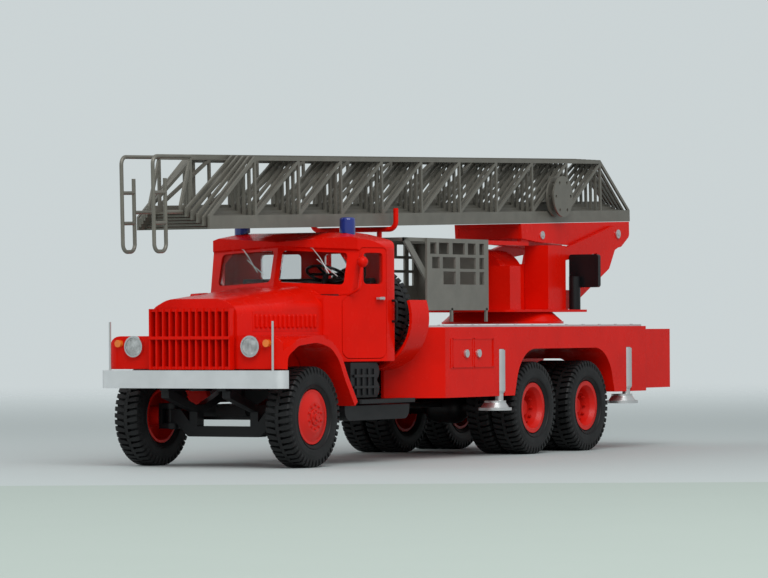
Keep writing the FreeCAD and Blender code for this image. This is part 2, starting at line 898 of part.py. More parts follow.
def make_side_equipment():
    """Rounded tanks, the boxes under the cab and the step bars, on both sides."""
    low, high = size.tank_low, size.tank_low + size.tank_height
    round_off = size.tank_height * TANK_ROUND_SHARE
    front, rear = station(size.tank_front), station(size.tank_rear)
    tank = pad("tank", "YZ", size.tank_inner, "Sizes.tank_outer - Sizes.tank_inner", [
        (front, low, round_off),
        (rear, low, round_off),
        (rear, high),
        (front, high),
    ])
    keep("side_tanks", both_sides("side_tanks", tank))

    front, rear = station(size.locker_front), station(size.locker_rear)
    inner = size.rail_half + size.gap
    case_rear = rear - size.canister_radius * 2
    split = (size.locker_low + size.locker_high) / 2
    case = box("locker_case", (inner, front, size.locker_low), (size.locker_outer, case_rear, size.locker_high))
    parts = [case]
    radius = size.canister_radius
    for index, height in enumerate((split - radius, split + radius)):
        place = (inner, case_rear - radius / 2, height)
        parts.append(rod(f"canister_{index}", place, "X", size.locker_outer - inner, "Sizes.canister_radius"))
    keep("under_cab_boxes", both_sides("under_cab_boxes", fuse("under_cab_box", parts)))

    low = size.board_low
    bar = pad("step_bar", "XY", low, "Sizes.board_thick", [
        (size.board_inner, station(size.board_front)),
        (size.board_outer, station(size.board_front), size.board_thick / 2),
        (size.board_outer, station(size.board_rear), size.board_thick / 2),
        (size.board_inner, station(size.board_rear)),
    ])
    keep("running_boards", both_sides("running_boards", bar))


TANK_ROUND_SHARE = 0.72


def make_bumper():
    """A channel bent round the front corners."""
    front, back = station(-size.bumper_front), station(size.bumper_return - size.bumper_front)
    half, thick, corner = size.bumper_half, size.bumper_thick, size.bumper_round
    outline = [
        (-half, back),
        (-half, front, corner),
        (half, front, corner),
        (half, back),
        (half - thick, back),
        (half - thick, front + thick, corner - thick),
        (thick - half, front + thick, corner - thick),
        (thick - half, back),
    ]
    keep("bumper", pad("bumper", "XY", size.bumper_low, "Sizes.bumper_height", outline))


# Cab


def cab_profile(inset):
    """Side view of the cab, or of its hollow when inset by the wall."""
    front, rear = station(size.cab_front) + inset, station(size.cab_rear) - inset
    low = size.cab_low + inset
    return [
        (front, low),
        (front, size.cowl_high - inset, size.cab_wall * 2 - inset),
        (station(size.screen_foot_station) + inset, size.screen_foot - inset / 2, size.cab_wall * 2),
        (station(size.screen_head_station) + inset, size.screen_head - inset, size.cab_wall / 2),
        (station(size.visor_station) + inset * 3, size.screen_head + size.gap - inset, size.cab_wall / 4),
        (station(size.visor_station) + inset * 3, size.visor_high - inset, size.cab_wall),
        (station(size.beacon_station), size.roof_high - inset, size.roof_arc - inset * 4),
        (rear, size.roof_rear - inset, size.cab_wall * 2 - inset),
        (rear, low),
    ]


def cab_face(inset):
    """Front view of the cab: upright sides, rounded cant rails and a crowned roof."""
    half, low = size.cab_half - inset, size.cab_low + inset
    edge, crown = size.roof_edge - inset, size.roof_high - inset
    return [
        (-half, low),
        (half, low),
        (half, edge, size.roof_round - inset),
        (half * CROWN_SHARE, crown, size.roof_round * 4),
        (-half * CROWN_SHARE, crown, size.roof_round * 4),
        (-half, edge, size.roof_round - inset),
    ]


def cab_plan(inset):
    """Plan of the cab: its front corners run back from the bonnet to the doors."""
    half, nose = size.cab_half - inset, size.bonnet_rear_half - inset / 2
    front, rear = station(size.cab_front) + inset, station(size.cab_rear) - inset
    corner = station(size.door_front) - size.cab_wall + inset
    return [
        (-nose, front),
        (nose, front),
        (half, corner, size.cab_corner - inset),
        (half, rear, size.cab_wall * 2 - inset),
        (-half, rear, size.cab_wall * 2 - inset),
        (-half, corner, size.cab_corner - inset),
    ]


def cab_solid(name, inset):
    """The cab's form where its side view, front view and plan meet."""
    wide, high = 2 * size.cab_half, size.roof_high
    views = [
        pad(f"{name}_side", "YZ", -size.cab_half, wide, cab_profile(inset)),
        pad(f"{name}_face", "XZ", station(0), size.cab_rear + size.overrun, cab_face(inset)),
        pad(f"{name}_plan", "XY", 0, high, cab_plan(inset)),
    ]
    common = doc.addObject("Part::MultiCommon", name)
    common.Shapes = views
    return common


def cab_openings():
    """Blocks that cut the two screens, the two back windows and both doorways."""
    wall, half = size.cab_wall, size.cab_half
    panes, back = [], []
    for side in (1, -1):
        near, far = sorted((side * size.pane_inner, side * size.pane_half))
        panes.append([
            (near, size.pane_low, size.pane_round),
            (far, size.pane_low, size.pane_round),
            (far, size.pane_high, size.pane_round),
            (near, size.pane_high, size.pane_round),
        ])
        near, far = sorted((side * size.rear_pane_inner, side * size.rear_pane_outer))
        back.append([
            (near, size.rear_pane_low, size.pane_round),
            (far, size.rear_pane_low, size.pane_round),
            (far, size.rear_pane_high, size.pane_round),
            (near, size.rear_pane_high, size.pane_round),
        ])
    screen_run = size.screen_head_station - size.cab_front + 2 * wall
    back_start = station(size.cab_rear) - 2 * wall
    return [
        pad("screen_room", "XZ", station(size.cab_front), screen_run, *panes),
        pad("back_room", "XZ", back_start, 2 * wall + size.overrun, *back),
        pad("door_room", "YZ", -half - size.overrun, 2 * (half + size.overrun), door_outline(0)),
    ]


def make_cab():
    """The hollow cab with its screens, doorways and back windows cut."""
    hollow = cut("cab_hollow", cab_solid("cab_outside", 0), cab_solid("cab_inside", size.cab_wall))
    keep("cab_shell", cut("cab_shell", hollow, fuse("cab_openings", cab_openings())))


def door_outline(seam):
    """The door's outline in the side view, in from its opening by the seam."""
    front, rear = station(size.door_front) + seam, station(size.door_rear) - seam
    low, high = size.door_low + seam, size.door_high - seam
    return [
        (front, low, size.pane_round * 2),
        (rear, low, size.pane_round * 2),
        (rear, high, size.pane_round),
        (station(size.side_pane_front) - size.cab_wall * 2 + seam, high, size.pane_round * 2),
        (front, size.screen_foot - size.cab_wall * 3, size.pane_round),
    ]


def make_doors():
    window = [
        (station(size.side_pane_front), size.side_pane_low, size.pane_round),
        (station(size.side_pane_rear), size.side_pane_low, size.pane_round),
        (station(size.side_pane_rear), size.side_pane_high, size.pane_round),
        (station(size.side_pane_front), size.side_pane_high, size.pane_round),
    ]
    start = size.cab_half - size.cab_wall
    door = pad("door", "YZ", start, "Sizes.cab_wall", door_outline(size.door_seam), window)
    keep("cab_doors", both_sides("cab_doors", door))


def rounded_pane(left, right, low, high):
    """A window's outline, in by the slack, with its corners rounded."""
    slack, corner = size.fit, size.pane_round - size.fit
    return [
        (left + slack, low + slack, corner),
        (right - slack, low + slack, corner),
        (right - slack, high - slack, corner),
        (left + slack, high - slack, corner),
    ]


def make_panes():
    """Glass in the two screens, the doors and the back, set in the middle of each wall."""
    thin, wall = size.pane_thick, size.cab_wall
    foot = Vector(0, station(size.screen_foot_station), size.screen_foot)
    head = Vector(0, station(size.screen_head_station), size.screen_head)
    set_in = (wall - thin) / 2
    slab = pad("screen_slab", "YZ", 0, "Sizes.cab_half", [
        (foot.y + set_in, foot.z),
        (foot.y + set_in + thin, foot.z),
        (head.y + set_in + thin, head.z),
        (head.y + set_in, head.z),
    ])
    outline = rounded_pane(size.pane_inner, size.pane_half, size.pane_low, size.pane_high)
    block = pad("screen_block", "XZ", foot.y - wall, size.cab_front, outline)
    front = doc.addObject("Part::Common", "screen")
    front.Base, front.Tool = slab, block
    outline = rounded_pane(station(size.side_pane_front), station(size.side_pane_rear),
                           size.side_pane_low, size.side_pane_high)
    side = pad("side_glass", "YZ", size.cab_half - wall + set_in, "Sizes.pane_thick", outline)
    outline = rounded_pane(size.rear_pane_inner, size.rear_pane_outer, size.rear_pane_low, size.rear_pane_high)
    back = pad("back_glass", "XZ", station(size.cab_rear) - wall + set_in, "Sizes.pane_thick", outline)
    keep("cab_panes", both_sides("cab_panes", gather("left_panes", [front, side, back])))


def make_cab_interior():
    """Dashboard, bench and steering wheel, seen through the screens."""
    wall, slack = size.cab_wall, size.fit
    half = size.cab_half - wall - slack
    front = station(size.door_front) + slack
    keep("dashboard", pad("dashboard", "YZ", -half, 2 * half, [
        (front, size.cowl_high - size.dash_depth),
        (front + size.dash_depth, size.cowl_high - size.dash_depth),
        (front + size.dash_depth, size.cowl_high, size.cab_wall),
        (front, size.cowl_high - size.cab_wall),
    ]))
    low = size.cab_low + wall
    thick = size.seat_thick
    seat_front, seat_rear = station(size.seat_front), station(size.seat_rear)
    bench = pad("bench", "YZ", -size.seat_half, "2 * Sizes.seat_half", [
        (seat_front + thick, low),
        (seat_rear, low),
        (seat_rear, size.seat_back_high, thick / 6),
        (seat_rear - thick / 2, size.seat_back_high, thick / 6),
        (seat_rear - thick * ROUND_SHARE, size.seat_low + thick, thick / 4),
        (seat_front, size.seat_low + thick, thick / 3),
        (seat_front, size.seat_low, thick / 3),
        (seat_front + thick, size.seat_low),
    ])
    keep("bench_seat", bench)

    ring = doc.addObject("Part::Torus", "wheel_ring")
    bind(ring, "Radius1", "Sizes.wheel_radius")
    bind(ring, "Radius2", "Sizes.wheel_rim")
    spoke_run = 2 * size.wheel_radius
    spoke_start = (-size.wheel_radius, 0, 0)
    spokes = [rod("spoke_cross", spoke_start, "X", spoke_run, size.wheel_rim * ROUND_SHARE)]
    spoke_start = (0, -size.wheel_radius, 0)
    spokes.append(rod("spoke_down", spoke_start, "Y", size.wheel_radius, size.wheel_rim * ROUND_SHARE))
    column_drop = size.wheel_high - low - size.gap - size.wheel_rim
    column_run = column_drop / math.sin(math.radians(size.column_tilt))
    column = rod("column", (0, 0, -column_run), "Z", column_run, size.wheel_rim * 2)
    wheel = fuse("steering_wheel", [ring, *spokes, column])
    tilt = Rotation(Vector(1, 0, 0), size.column_tilt - 90)
    place = Vector(size.wheel_half, station(size.wheel_station), size.wheel_high)
    wheel.Placement = Placement(place, tilt)
    keep("steering_wheel", wheel)


# Bonnet, grille, wings and lamps


def bonnet_section(half, shoulder, crown):
    return [
        (-half, size.bonnet_low),
        (half, size.bonnet_low),
        (half, shoulder, size.wing_thick),
        (half * CROWN_SHARE, crown, size.wing_thick * 3),
        (-half * CROWN_SHARE, crown, size.wing_thick * 3),
        (-half, shoulder, size.wing_thick),
    ]


CROWN_SHARE = 0.55


def make_bonnet():
    """The bonnet rises and widens from the grille to the cab."""
    body = new_body("bonnet")
    front = sketch_on(body, "bonnet_front_sketch", "XZ", station(-size.bonnet_front))
    draw(front, [bonnet_section(size.bonnet_front_half, size.bonnet_shoulder_front, size.bonnet_crown_front)])
    rear = sketch_on(body, "bonnet_rear_sketch", "XZ", station(size.cab_front))
    draw(rear, [bonnet_section(size.bonnet_rear_half, size.bonnet_shoulder_rear, size.bonnet_crown_rear)])
    loft = body.newObject("PartDesign::AdditiveLoft", "bonnet_loft")
    loft.Profile = front
    loft.Sections = [rear]
    loft.Ruled = True
    half = size.bonnet_front_half - size.wing_thick
    recess = [
        (-half, size.bonnet_low + size.wing_thick),
        (half, size.bonnet_low + size.wing_thick),
        (half, size.bonnet_shoulder_front - size.wing_thick),
        (-half, size.bonnet_shoulder_front - size.wing_thick),
    ]
    start = station(-size.bonnet_front) - size.overrun
    pocket(body, "radiator_recess", "XZ", start, size.grille_recess + size.overrun, recess)
    keep("bonnet", body)


def make_grille():
    """Deep upright blades joined by a bar across their middle and rails at both ends."""
    front, back = station(-size.grille_front), station(size.grille_depth - size.grille_front)
    low, high = size.grille_low, size.grille_high
    half, thin, bar = size.grille_half, size.blade_thick, size.grille_bar
    pitch = (2 * half - thin) / (size.blade_count - 1)
    parts = []
    for index in range(int(size.blade_count)):
        left = index * pitch - half
        parts.append(box(f"blade_{index}", (left, front, low), (left + thin, back, high)))
    middle = size.grille_bar_low
    parts.append(box("grille_middle", (-half, front - thin / 2, middle), (half, back - thin, middle + bar)))
    parts.append(box("grille_foot", (-half, front + thin, low), (half, back, low + bar)))
    parts.append(box("grille_head", (-half, front + thin, high - bar), (half, back, high)))
    keep("grille", fuse("grille", parts))


def wing_profile():
    """The wing's arch in the side view: a strip with its own thickness."""
    thick, top = size.wing_thick, size.wing_top
    outer = [(station(at), top * share) for at, share in WING_STATION_HEIGHT_SHARES]
    inner = []
    for index, (along, high) in enumerate(outer):
        before = outer[max(index - 1, 0)]
        after = outer[min(index + 1, len(outer) - 1)]
        across = Vector(high * 0 + after[1] - before[1], before[0] - after[0], 0).normalize()
        inner.append((along + across.x * thick, high + across.y * thick))
    rounded = [(*outer[0],)]
    rounded += [(*point, size.wing_thick * 3) for point in outer[1:-1]]
    rounded += [(*outer[-1],), (*inner[-1],)]
    rounded += [(*point, size.wing_thick * 2) for point in reversed(inner[1:-1])]
    rounded += [(*inner[0],)]
    return rounded


WING_STATION_HEIGHT_SHARES = [(-15.6, 0.79), (-13.8, 0.93), (-8.0, 1.0), (4.0, 1.0), (10.8, 0.9), (20.8, 0.49)]


def make_wings():
    """Front wings: the arch strip, its flat shelf by the bonnet and the panel that holds the lamps."""
    inner = size.bonnet_front_half + size.gap / 3
    width = "Sizes.wing_half - Sizes.bonnet_front_half - Sizes.gap / 3"
    strip = pad("wing_strip", "YZ", inner, width, wing_profile())
    front = station(-size.lamp_panel_front)
    back = front + size.lamp_panel_thick
    rear_shelf = station(size.cab_front) - size.gap / 3
    outline = [
        (inner, size.bonnet_low),
        (size.lamp_panel_half + size.wing_thick, size.bonnet_low),
        (size.lamp_panel_half, size.wing_top, size.wing_thick),
        (inner, size.wing_top),
    ]
    panel = pad("lamp_panel", "XZ", front, "Sizes.lamp_panel_thick", outline)
    shelf_low = size.wing_top - size.wing_thick
    shelf = box("wing_shelf", (inner, back, shelf_low),
                (size.bonnet_rear_half + size.wing_thick, rear_shelf, size.wing_top))
    trimmed = cut("left_wing", fuse("wing_blank", [strip, panel, shelf]), bonnet_room())
    keep("front_wings", both_sides("front_wings", trimmed))


def bonnet_room():
    """The bonnet's plan with a little air, cut from the wings."""
    air = size.gap / 3
    front, rear = station(-size.bonnet_front), station(size.cab_front)
    return pad("bonnet_room", "XY", size.bonnet_low - size.overrun, 2 * size.overrun + size.wing_top, [
        (0, front - size.overrun),
        (size.bonnet_front_half + air, front - size.overrun),
        (size.bonnet_front_half + air, front),
        (size.bonnet_rear_half + air, rear),
        (size.bonnet_rear_half + air, rear + size.overrun),
        (0, rear + size.overrun),
    ])


def make_lamps():
    """Headlamp rims with their glasses, and the round turn lamps, on the wing panels."""
    face = station(-size.lamp_panel_front)
    lamp_front = face - size.lamp_depth
    x, high = size.lamp_half, size.lamp_high
    shell = rod("lamp_shell", (x, lamp_front, high), "Y", "Sizes.lamp_depth", "Sizes.lamp_radius")
    hole = rod("lamp_hole", (x, lamp_front - size.overrun, high), "Y", "2 * Sizes.overrun", "Sizes.lens_radius")
    keep("headlamp_rims", both_sides("headlamp_rims", cut("headlamp_rim", shell, hole)))
    rim_depth = size.lamp_depth * 2 / 3
    lens = rod("lens", (x, lamp_front + size.fit * 2, high), "Y", rim_depth / 2, size.lens_radius - size.fit)
    keep("headlamp_glasses", both_sides("headlamp_glasses", lens))
    place = (size.turn_half, face - size.lamp_depth, size.turn_high)
    turn_lamp = rod("turn_lamp", place, "Y", "Sizes.lamp_depth", "Sizes.turn_radius")
    keep("turn_lamps", both_sides("turn_lamps", turn_lamp))
    top = size.bumper_low + size.bumper_height
    place = (size.marker_half, station(-size.bumper_front) + size.bumper_thick / 2, top)
    marker = rod("marker", place, "Z", size.marker_high - top, "Sizes.marker_radius")
    keep("marker_rods", both_sides("marker_rods", marker))


# Fittings on the cab


def make_cab_fittings():
    """Beacons, mirrors and grab handles."""
    place = (size.beacon_half, station(size.beacon_station), size.beacon_low - size.overrun)
    beacon = rod("beacon", place, "Z", "Sizes.beacon_height + Sizes.overrun", "Sizes.beacon_radius")
    domed = doc.addObject("Part::Fillet", "beacon_dome")
    domed.Base = beacon
    doc.recompute()
    top = [i for i, edge in enumerate(beacon.Shape.Edges, 1) if edge.BoundBox.ZMin > place[2] + size.beacon_height / 2]
    domed.Edges = [(index, size.beacon_radius / 3, size.beacon_radius / 3) for index in top]
    seated = cut("beacon_seated", domed, doc.getObject("cab_outside"))
    keep("beacons", both_sides("beacons", seated))

    head = (size.mirror_half, station(size.mirror_station), size.mirror_high)
    disc = rod("mirror_head", head, "Y", "Sizes.mirror_depth", "Sizes.mirror_radius")
    arm = shape_of("mirror_arm", pipe_shape([
        (size.cab_half + size.mirror_arm / 2, station(size.door_front), size.mirror_foot),
        (size.cab_half + size.mirror_radius, station(size.door_front), size.mirror_foot),
        (size.mirror_half, station(size.mirror_station) + size.mirror_depth / 2, size.mirror_high - size.mirror_radius / 2),
    ], size.mirror_arm, size.mirror_radius))
    keep("mirrors", both_sides("mirrors", fuse("mirror", [disc, arm])))

    along = station((size.door_rear + size.cab_rear) / 2)
    out = size.cab_half + size.grab_radius * 4
    foot = size.cab_half + size.fit
    handle = shape_of("grab_handle", pipe_shape([
        (foot, along, size.grab_low),
        (out, along, size.grab_low),
        (out, along, size.grab_high),
        (foot, along, size.grab_high),
    ], size.grab_radius, size.grab_radius * 2))
    keep("grab_handles", both_sides("grab_handles", handle))


def make_ladder_rest():
    """A bent tube with two prongs that hold the ladder, on two legs to the deck."""
    along, half, bend = station(size.rest_station), size.rest_half, size.rest_radius * 3
    cradle = shape_of("rest_cradle", pipe_shape([
        (-half, along, size.rest_tip),
        (-half, along, size.rest_bar),
        (half, along, size.rest_bar),
        (half, along, size.rest_tip),
    ], size.rest_radius, bend))
    deck = size.body_high + size.deck_thick
    legs = []
    for side in (1, -1):
        place = (side * size.rest_leg_half, along, deck)
        legs.append(rod(f"rest_leg_{side + 1}", place, "Z", size.rest_bar - deck, "Sizes.rest_radius"))
    keep("ladder_rest", fuse("ladder_rest", [cradle, *legs]))


def make_spare_wheel():
    """The spare stands across the frame behind the cab, in a curved guard."""
    middle = station(size.spare_front) + size.tyre_width / 2
    turned = Rotation(Vector(0, 0, 1), 90)
    centre = Vector(size.spare_half, middle, size.spare_high)
    spare = tyre("spare_tyre", centre)
    spare.Placement = Placement(centre, turned)
    keep("spare_tyre", spare)
    half = size.tyre_width / 2 - size.tyre_shoulder / 2
    barrel = size.rim_radius - size.rim_wall
    rim = turn("spare_rim", [
        (-half, size.hub_radius),
        (size.rim_disc - half, size.hub_radius),
        (half - size.rim_disc, barrel),
        (half, barrel),
        (half, size.rim_radius),
        (-half, size.rim_radius),
        (-half, barrel),
        (half - size.rim_disc * 2, barrel),
    ])
    rim.Placement = Placement(centre, turned)
    keep("spare_rim", rim)

    inner = size.tyre_radius + size.gap
    outer = inner + size.guard_thick
    x, z = size.spare_half, size.spare_high

    def at(radius, angle):
        turn_by = math.radians(angle)
        return Vector(x + radius * math.cos(turn_by), z + radius * math.sin(turn_by), 0)

    start, middle_angle, end = GUARD_ANGLES
    body = new_body("spare_guard")
    sketch = sketch_on(body, "guard_sketch", "XZ", station(size.spare_front))
    sketch.addGeometry(Part.Arc(at(outer, start), at(outer, middle_angle), at(outer, end)), False)
    sketch.addGeometry(Part.LineSegment(at(outer, end), at(inner, end)), False)
    sketch.addGeometry(Part.Arc(at(inner, end), at(inner, middle_angle), at(inner, start)), False)
    sketch.addGeometry(Part.LineSegment(at(inner, start), at(outer, start)), False)
    feature = body.newObject("PartDesign::Pad", "guard_pad")
    feature.Profile = sketch
    bind(feature, "Length", size.body_front - size.spare_front)
    feature.Reversed = True
    keep("spare_guard", body)


GUARD_ANGLES = (-80, -30, 19)


# Rear body


def body_plan(inset=0, rear=None):
    """Plan of the rear body with its cut front corners."""
    front, side_front = station(size.body_front) + inset, station(size.body_side_front) + inset / 2
    rear = station(size.body_rear) if rear is None else rear
    half, front_half = size.body_half - inset, size.body_front_half - inset / 2
    return [
        (-front_half, front),
        (front_half, front),
        (half, side_front),
        (half, rear),
        (-half, rear),
        (-half, side_front),
    ]


def make_rear_body():
    """Deep-skirted body over the bogie, open below between its skirts, with its wheel arches cut."""
    height = "Sizes.body_high - Sizes.body_low"
    body = pad("rear_body", "XY", size.body_low, height, body_plan())
    tail_front = station(size.body_rear)
    tail_half = size.body_half - size.gap
    tail = [
        (-tail_half, tail_front),
        (tail_half, tail_front),
        (tail_half, station(size.tail_rear), size.body_skirt),
        (-tail_half, station(size.tail_rear), size.body_skirt),
    ]
    pad("body_tail", "XY", size.tail_low, size.body_high - size.tail_step - size.tail_low, tail, body=body)
    long = size.tail_rear - size.body_front + 2 * size.overrun
    front = station(size.body_front) - size.overrun
    low = size.body_low - size.overrun
    inner = size.tank_inner - size.gap
    pocket(body, "body_channel", "XZ", front, long, [
        (-inner, low),
        (inner, low),
        (inner, size.floor_low, size.body_skirt),
        (-inner, size.floor_low, size.body_skirt),
    ])
    arch = [
        (station(size.arch_front), low),
        (station(size.arch_rear), low),
        (station(size.arch_rear), size.body_low),
        (station(size.arch_rear) - size.arch_round / 3, size.arch_high, size.arch_round),
        (station(size.arch_front) + size.arch_round / 3, size.arch_high, size.arch_round),
        (station(size.arch_front), size.body_low),
    ]
    reach = size.body_half + size.overrun
    pocket(body, "arches", "YZ", -reach, 2 * reach, arch)
    slots = []
    for side in (1, -1):
        for along in (size.jack_front, size.jack_rear):
            slots.append({
                "centre": (side * size.jack_half, station(along)),
                "radius": size.jack_radius + size.gap / 2,
            })
    pocket(body, "jack_slots", "XY", low, size.jack_high + size.gap - low, *slots)
    keep("rear_body", body)

    plan = body_plan(size.deck_inset, station(size.body_rear) - size.deck_inset)
    keep("deck_plate", pad("deck_plate", "XY", size.body_high, "Sizes.deck_thick", plan))

    front, low = station(size.hatch_front), size.hatch_low
    rear = front + size.hatch_length
    hatch = box("hatch", (size.body_half, front, low), (size.body_half + size.hatch_proud, rear, size.hatch_high))
    keep("locker_hatches", both_sides("locker_hatches", hatch))
    knobs = []
    for share in KNOB_SHARES:
        place = (size.body_half + size.hatch_proud, front + share * size.hatch_length, (low + size.hatch_high) / 2)
        knobs.append(rod(f"knob_{share}", place, "X", "Sizes.knob_proud", "Sizes.knob_radius"))
    keep("locker_knobs", both_sides("locker_knobs", gather("left_knobs", knobs)))

    back = station(size.tail_rear)
    high = size.tail_low + size.lamp_bar_height * 2
    x = size.body_half - size.lamp_bar_width - size.body_skirt * 2
    lamp = box("tail_lamp", (x, back, high - size.lamp_bar_height),
               (x + size.lamp_bar_width, back + size.lamp_bar_thick, high))
    keep("tail_lamps", both_sides("tail_lamps", lamp))


KNOB_SHARES = (0.36, 0.66)


def make_jacks():
    """Upright jacks in the body's sides with stepped feet."""
    x, radius = size.jack_half, size.jack_radius
    jacks = []
    for label, along, foot_radius, foot in (
        ("front", size.jack_front, size.jack_foot_radius, size.jack_foot),
        ("rear", size.jack_rear, size.rear_foot_radius, size.rear_foot),
    ):
        y = station(along)
        thick = size.jack_foot_thick
        cone_high = size.jack_cone_high - size.jack_foot
        post = rod(f"{label}_post", (x, y, foot + thick), "Z", size.jack_high - foot - thick, "Sizes.jack_radius")
        disc = rod(f"{label}_foot", (x, y, foot), "Z", "Sizes.jack_foot_thick", foot_radius)
        skirt = cone(f"{label}_skirt", (x, y, foot + thick), "Z", cone_high,
                     foot_radius * size.jack_cone_radius / size.jack_foot_radius, radius)
        jacks.append(fuse(f"{label}_jack", [post, disc, skirt]))
    keep("jacks", both_sides("jacks", gather("left_jacks", jacks)))


# Turntable


def make_turntable():
    """The ring, its foot plate and the tower with two cheeks that carry the ladder's pivot."""
    middle = station(size.table_station)
    low = size.body_high + size.deck_thick + size.gap
    ring = cone("ring", (0, middle, low), "Z", size.table_height, size.table_radius, size.table_top_radius)
    top = low + size.table_height
    half = size.plate_half
    plate = pad("foot_plate", "XY", top, "Sizes.plate_high", [
        (-half, station(size.plate_front), size.plate_corner),
        (half, station(size.plate_front), size.plate_corner),
        (half + size.plate_corner, station(size.plate_rear), size.plate_corner),
        (-half, station(size.plate_rear), size.plate_corner),
    ])
    keep("turntable", fuse("turntable", [ring, plate]))

    floor = top + size.plate_high
    block = box("tower_block", (-size.block_half, station(size.block_front), floor),
                (size.block_half, station(size.block_rear), size.block_high))
    column = pad("tower_column", "YZ", -size.column_half, "2 * Sizes.column_half", [
        (station(size.block_rear) - size.overrun, floor),
        (station(size.column_rear), floor),
        (station(size.column_rear), size.column_high),
        (station(size.block_rear) - size.overrun, size.column_high, size.column_round),
    ])
    console = box("console", (size.console_inner - size.overrun, station(size.console_front), floor),
                  (size.console_outer, station(size.console_rear), size.console_high))
    pivot_y, pivot_z = station(size.pivot_station), size.pivot_high
    boss = size.pivot_boss
    cheek = pad("cheek", "YZ", size.cheek_outer - size.cheek_thick, "Sizes.cheek_thick", [
        (station(size.console_front), floor),
        (pivot_y - size.pivot_high * CHEEK_FOOT_SHARE, floor),
        (pivot_y - boss, pivot_z - boss * 3, boss),
        (pivot_y + boss, pivot_z - boss * 1.6, boss),
        (pivot_y + boss, pivot_z + boss * CHEEK_TOP_SHARE, boss * CHEEK_TOP_SHARE),
        (pivot_y - boss, pivot_z + boss * CHEEK_TOP_SHARE, boss),
        (station(size.console_rear), size.console_high - size.gap * 2),
        (station(size.console_front), size.console_high - size.gap * 2),
    ])
    filler = box("cheek_root", (size.column_half - size.overrun, station(size.console_front), floor),
                 (size.cheek_outer - size.cheek_thick + size.overrun / 2, station(size.column_rear), floor + boss))
    pin_half = size.carrier_outer + size.gap
    pin = rod("pivot_pin", (-pin_half, pivot_y, pivot_z), "X", 2 * pin_half, "Sizes.pivot_radius")
    side = fuse("left_tower", [cheek, filler])
    parts = [block, column, console, side, mirrored("right_tower", side), pin]
    keep("tower", fuse("tower", parts))

    inner, outer = size.seat_back_inner, size.seat_back_outer
    back = pad("seat_back", "XZ", station(size.seat_back_front), "Sizes.pad_thick", [
        (inner, size.seat_back_low, size.pad_thick),
        (outer, size.seat_back_low, size.pad_thick),
        (outer, size.seat_back_top, size.pad_thick),
        (inner, size.seat_back_top, size.pad_thick),
    ])
    cushion_low = size.cushion_high - size.cushion_thick
    cushion = pad("seat_cushion", "YZ", inner, "Sizes.seat_back_outer - Sizes.seat_back_inner", [
        (station(size.cushion_front), cushion_low, size.pad_thick * ROUND_SHARE),
        (station(size.seat_back_front) + size.pad_thick / 2, cushion_low),
        (station(size.seat_back_front) + size.pad_thick / 2, size.cushion_high),
        (station(size.cushion_front), size.cushion_high, size.pad_thick / 2),
    ])
    stem_y = (station(size.cushion_front) + station(size.seat_back_front)) / 2
    stem_foot = ((inner + outer) / 2, stem_y, floor)
    stem = rod("seat_stem", stem_foot, "Z", cushion_low + size.gap - floor, "Sizes.pedestal_radius")
    keep("operator_seat", fuse("operator_seat", [back, cushion, stem]))


CHEEK_FOOT_SHARE = 0.42
CHEEK_TOP_SHARE = 0.6


# Ladder: built level about its pivot, with u along it (rear positive) and w up, then tilted


def ladder_placement():
    """The ladder's own frame stands on the pivot, nose down by its tilt."""
    pivot = Vector(0, station(size.pivot_station), size.pivot_high)
    return Placement(pivot, Rotation(Vector(1, 0, 0), size.ladder_tilt))


def inset_triangle(corners, distances):
    """A triangle with each side moved in by its own distance."""
    a, b, c = [Vector(*corner, 0) for corner in corners]
    if (b - a).cross(c - a).z < 0:
        a, b, c = c, b, a
        distances = (distances[1], distances[0], distances[2])
    sides = []
    for (start, end), distance in zip(((a, b), (b, c), (c, a)), distances):
        along = (end - start).normalize()
        normal = Vector(-along.y, along.x, 0)
        sides.append((start + normal * distance, along))
    points = []
    for index in (0, 1, 2):
        (p, d), (q, e) = sides[index - 1], sides[index]
        run = (q - p).cross(e).z / d.cross(e).z
        corner = p + d * run
        points.append((corner.x, corner.y))
    return points


def truss(name, low, front, rear, apex, tail, height, chord, outer):
    """One side of a ladder section: a chord, a top rail and the braces between them."""
    rail, brace = size.top_rail, size.brace
    top = low + height
    outline = [
        (front, low),
        (rear, low),
        (rear, low + chord),
        (tail, top),
        (apex, top),
        (front, low + chord),
    ]
    holes = []
    base_w, top_w = low + chord, top - rail
    bays = int(size.bay_count)
    pitch = (tail - apex) / bays
    half = brace / 2
    posts = [apex + index * pitch for index in range(bays + 1)]
    holes.append(inset_triangle([(front, base_w), (posts[0], base_w), (posts[0], top)], (0, half, brace)))
    for left, right in zip(posts, posts[1:]):
        lower = [(left, base_w), (right, base_w), (right, top_w)]
        upper = [(left, base_w), (right, top_w), (left, top_w)]
        holes.append(inset_triangle(lower, (0, half, half)))
        holes.append(inset_triangle(upper, (half, 0, half)))
    holes.append(inset_triangle([(tail, base_w), (rear, base_w), (tail, top)], (0, brace, half)))
    start = outer - size.truss_thick
    return pad(name, "YZ", start, "Sizes.truss_thick", outline, *holes)


def rung_row(name, low, front, rear, half):
    """Square rungs between the two trusses, one feature for the row."""
    side = size.rung_size
    count = int((rear - front - size.rung_pitch) / size.rung_pitch)
    rungs = []
    for index in range(count + 1):
        along = front + size.rung_pitch / 2 + index * size.rung_pitch
        corner = Vector(-half, along - side / 2, low)
        rungs.append(Part.makeBox(2 * half, side, side, corner))
    return shape_of(name, Part.makeCompound(rungs))


def section_sizes(index):
    """Half width, chord foot, front and rear end of a section counted from the outermost."""
    half = size.base_half - index * size.nest_step
    low = size.ladder_rise + index * size.nest_rise
    front = -size.base_front - index * size.nest_reach
    rear = size.base_rear - index * size.nest_reach
    return half, low, front, rear


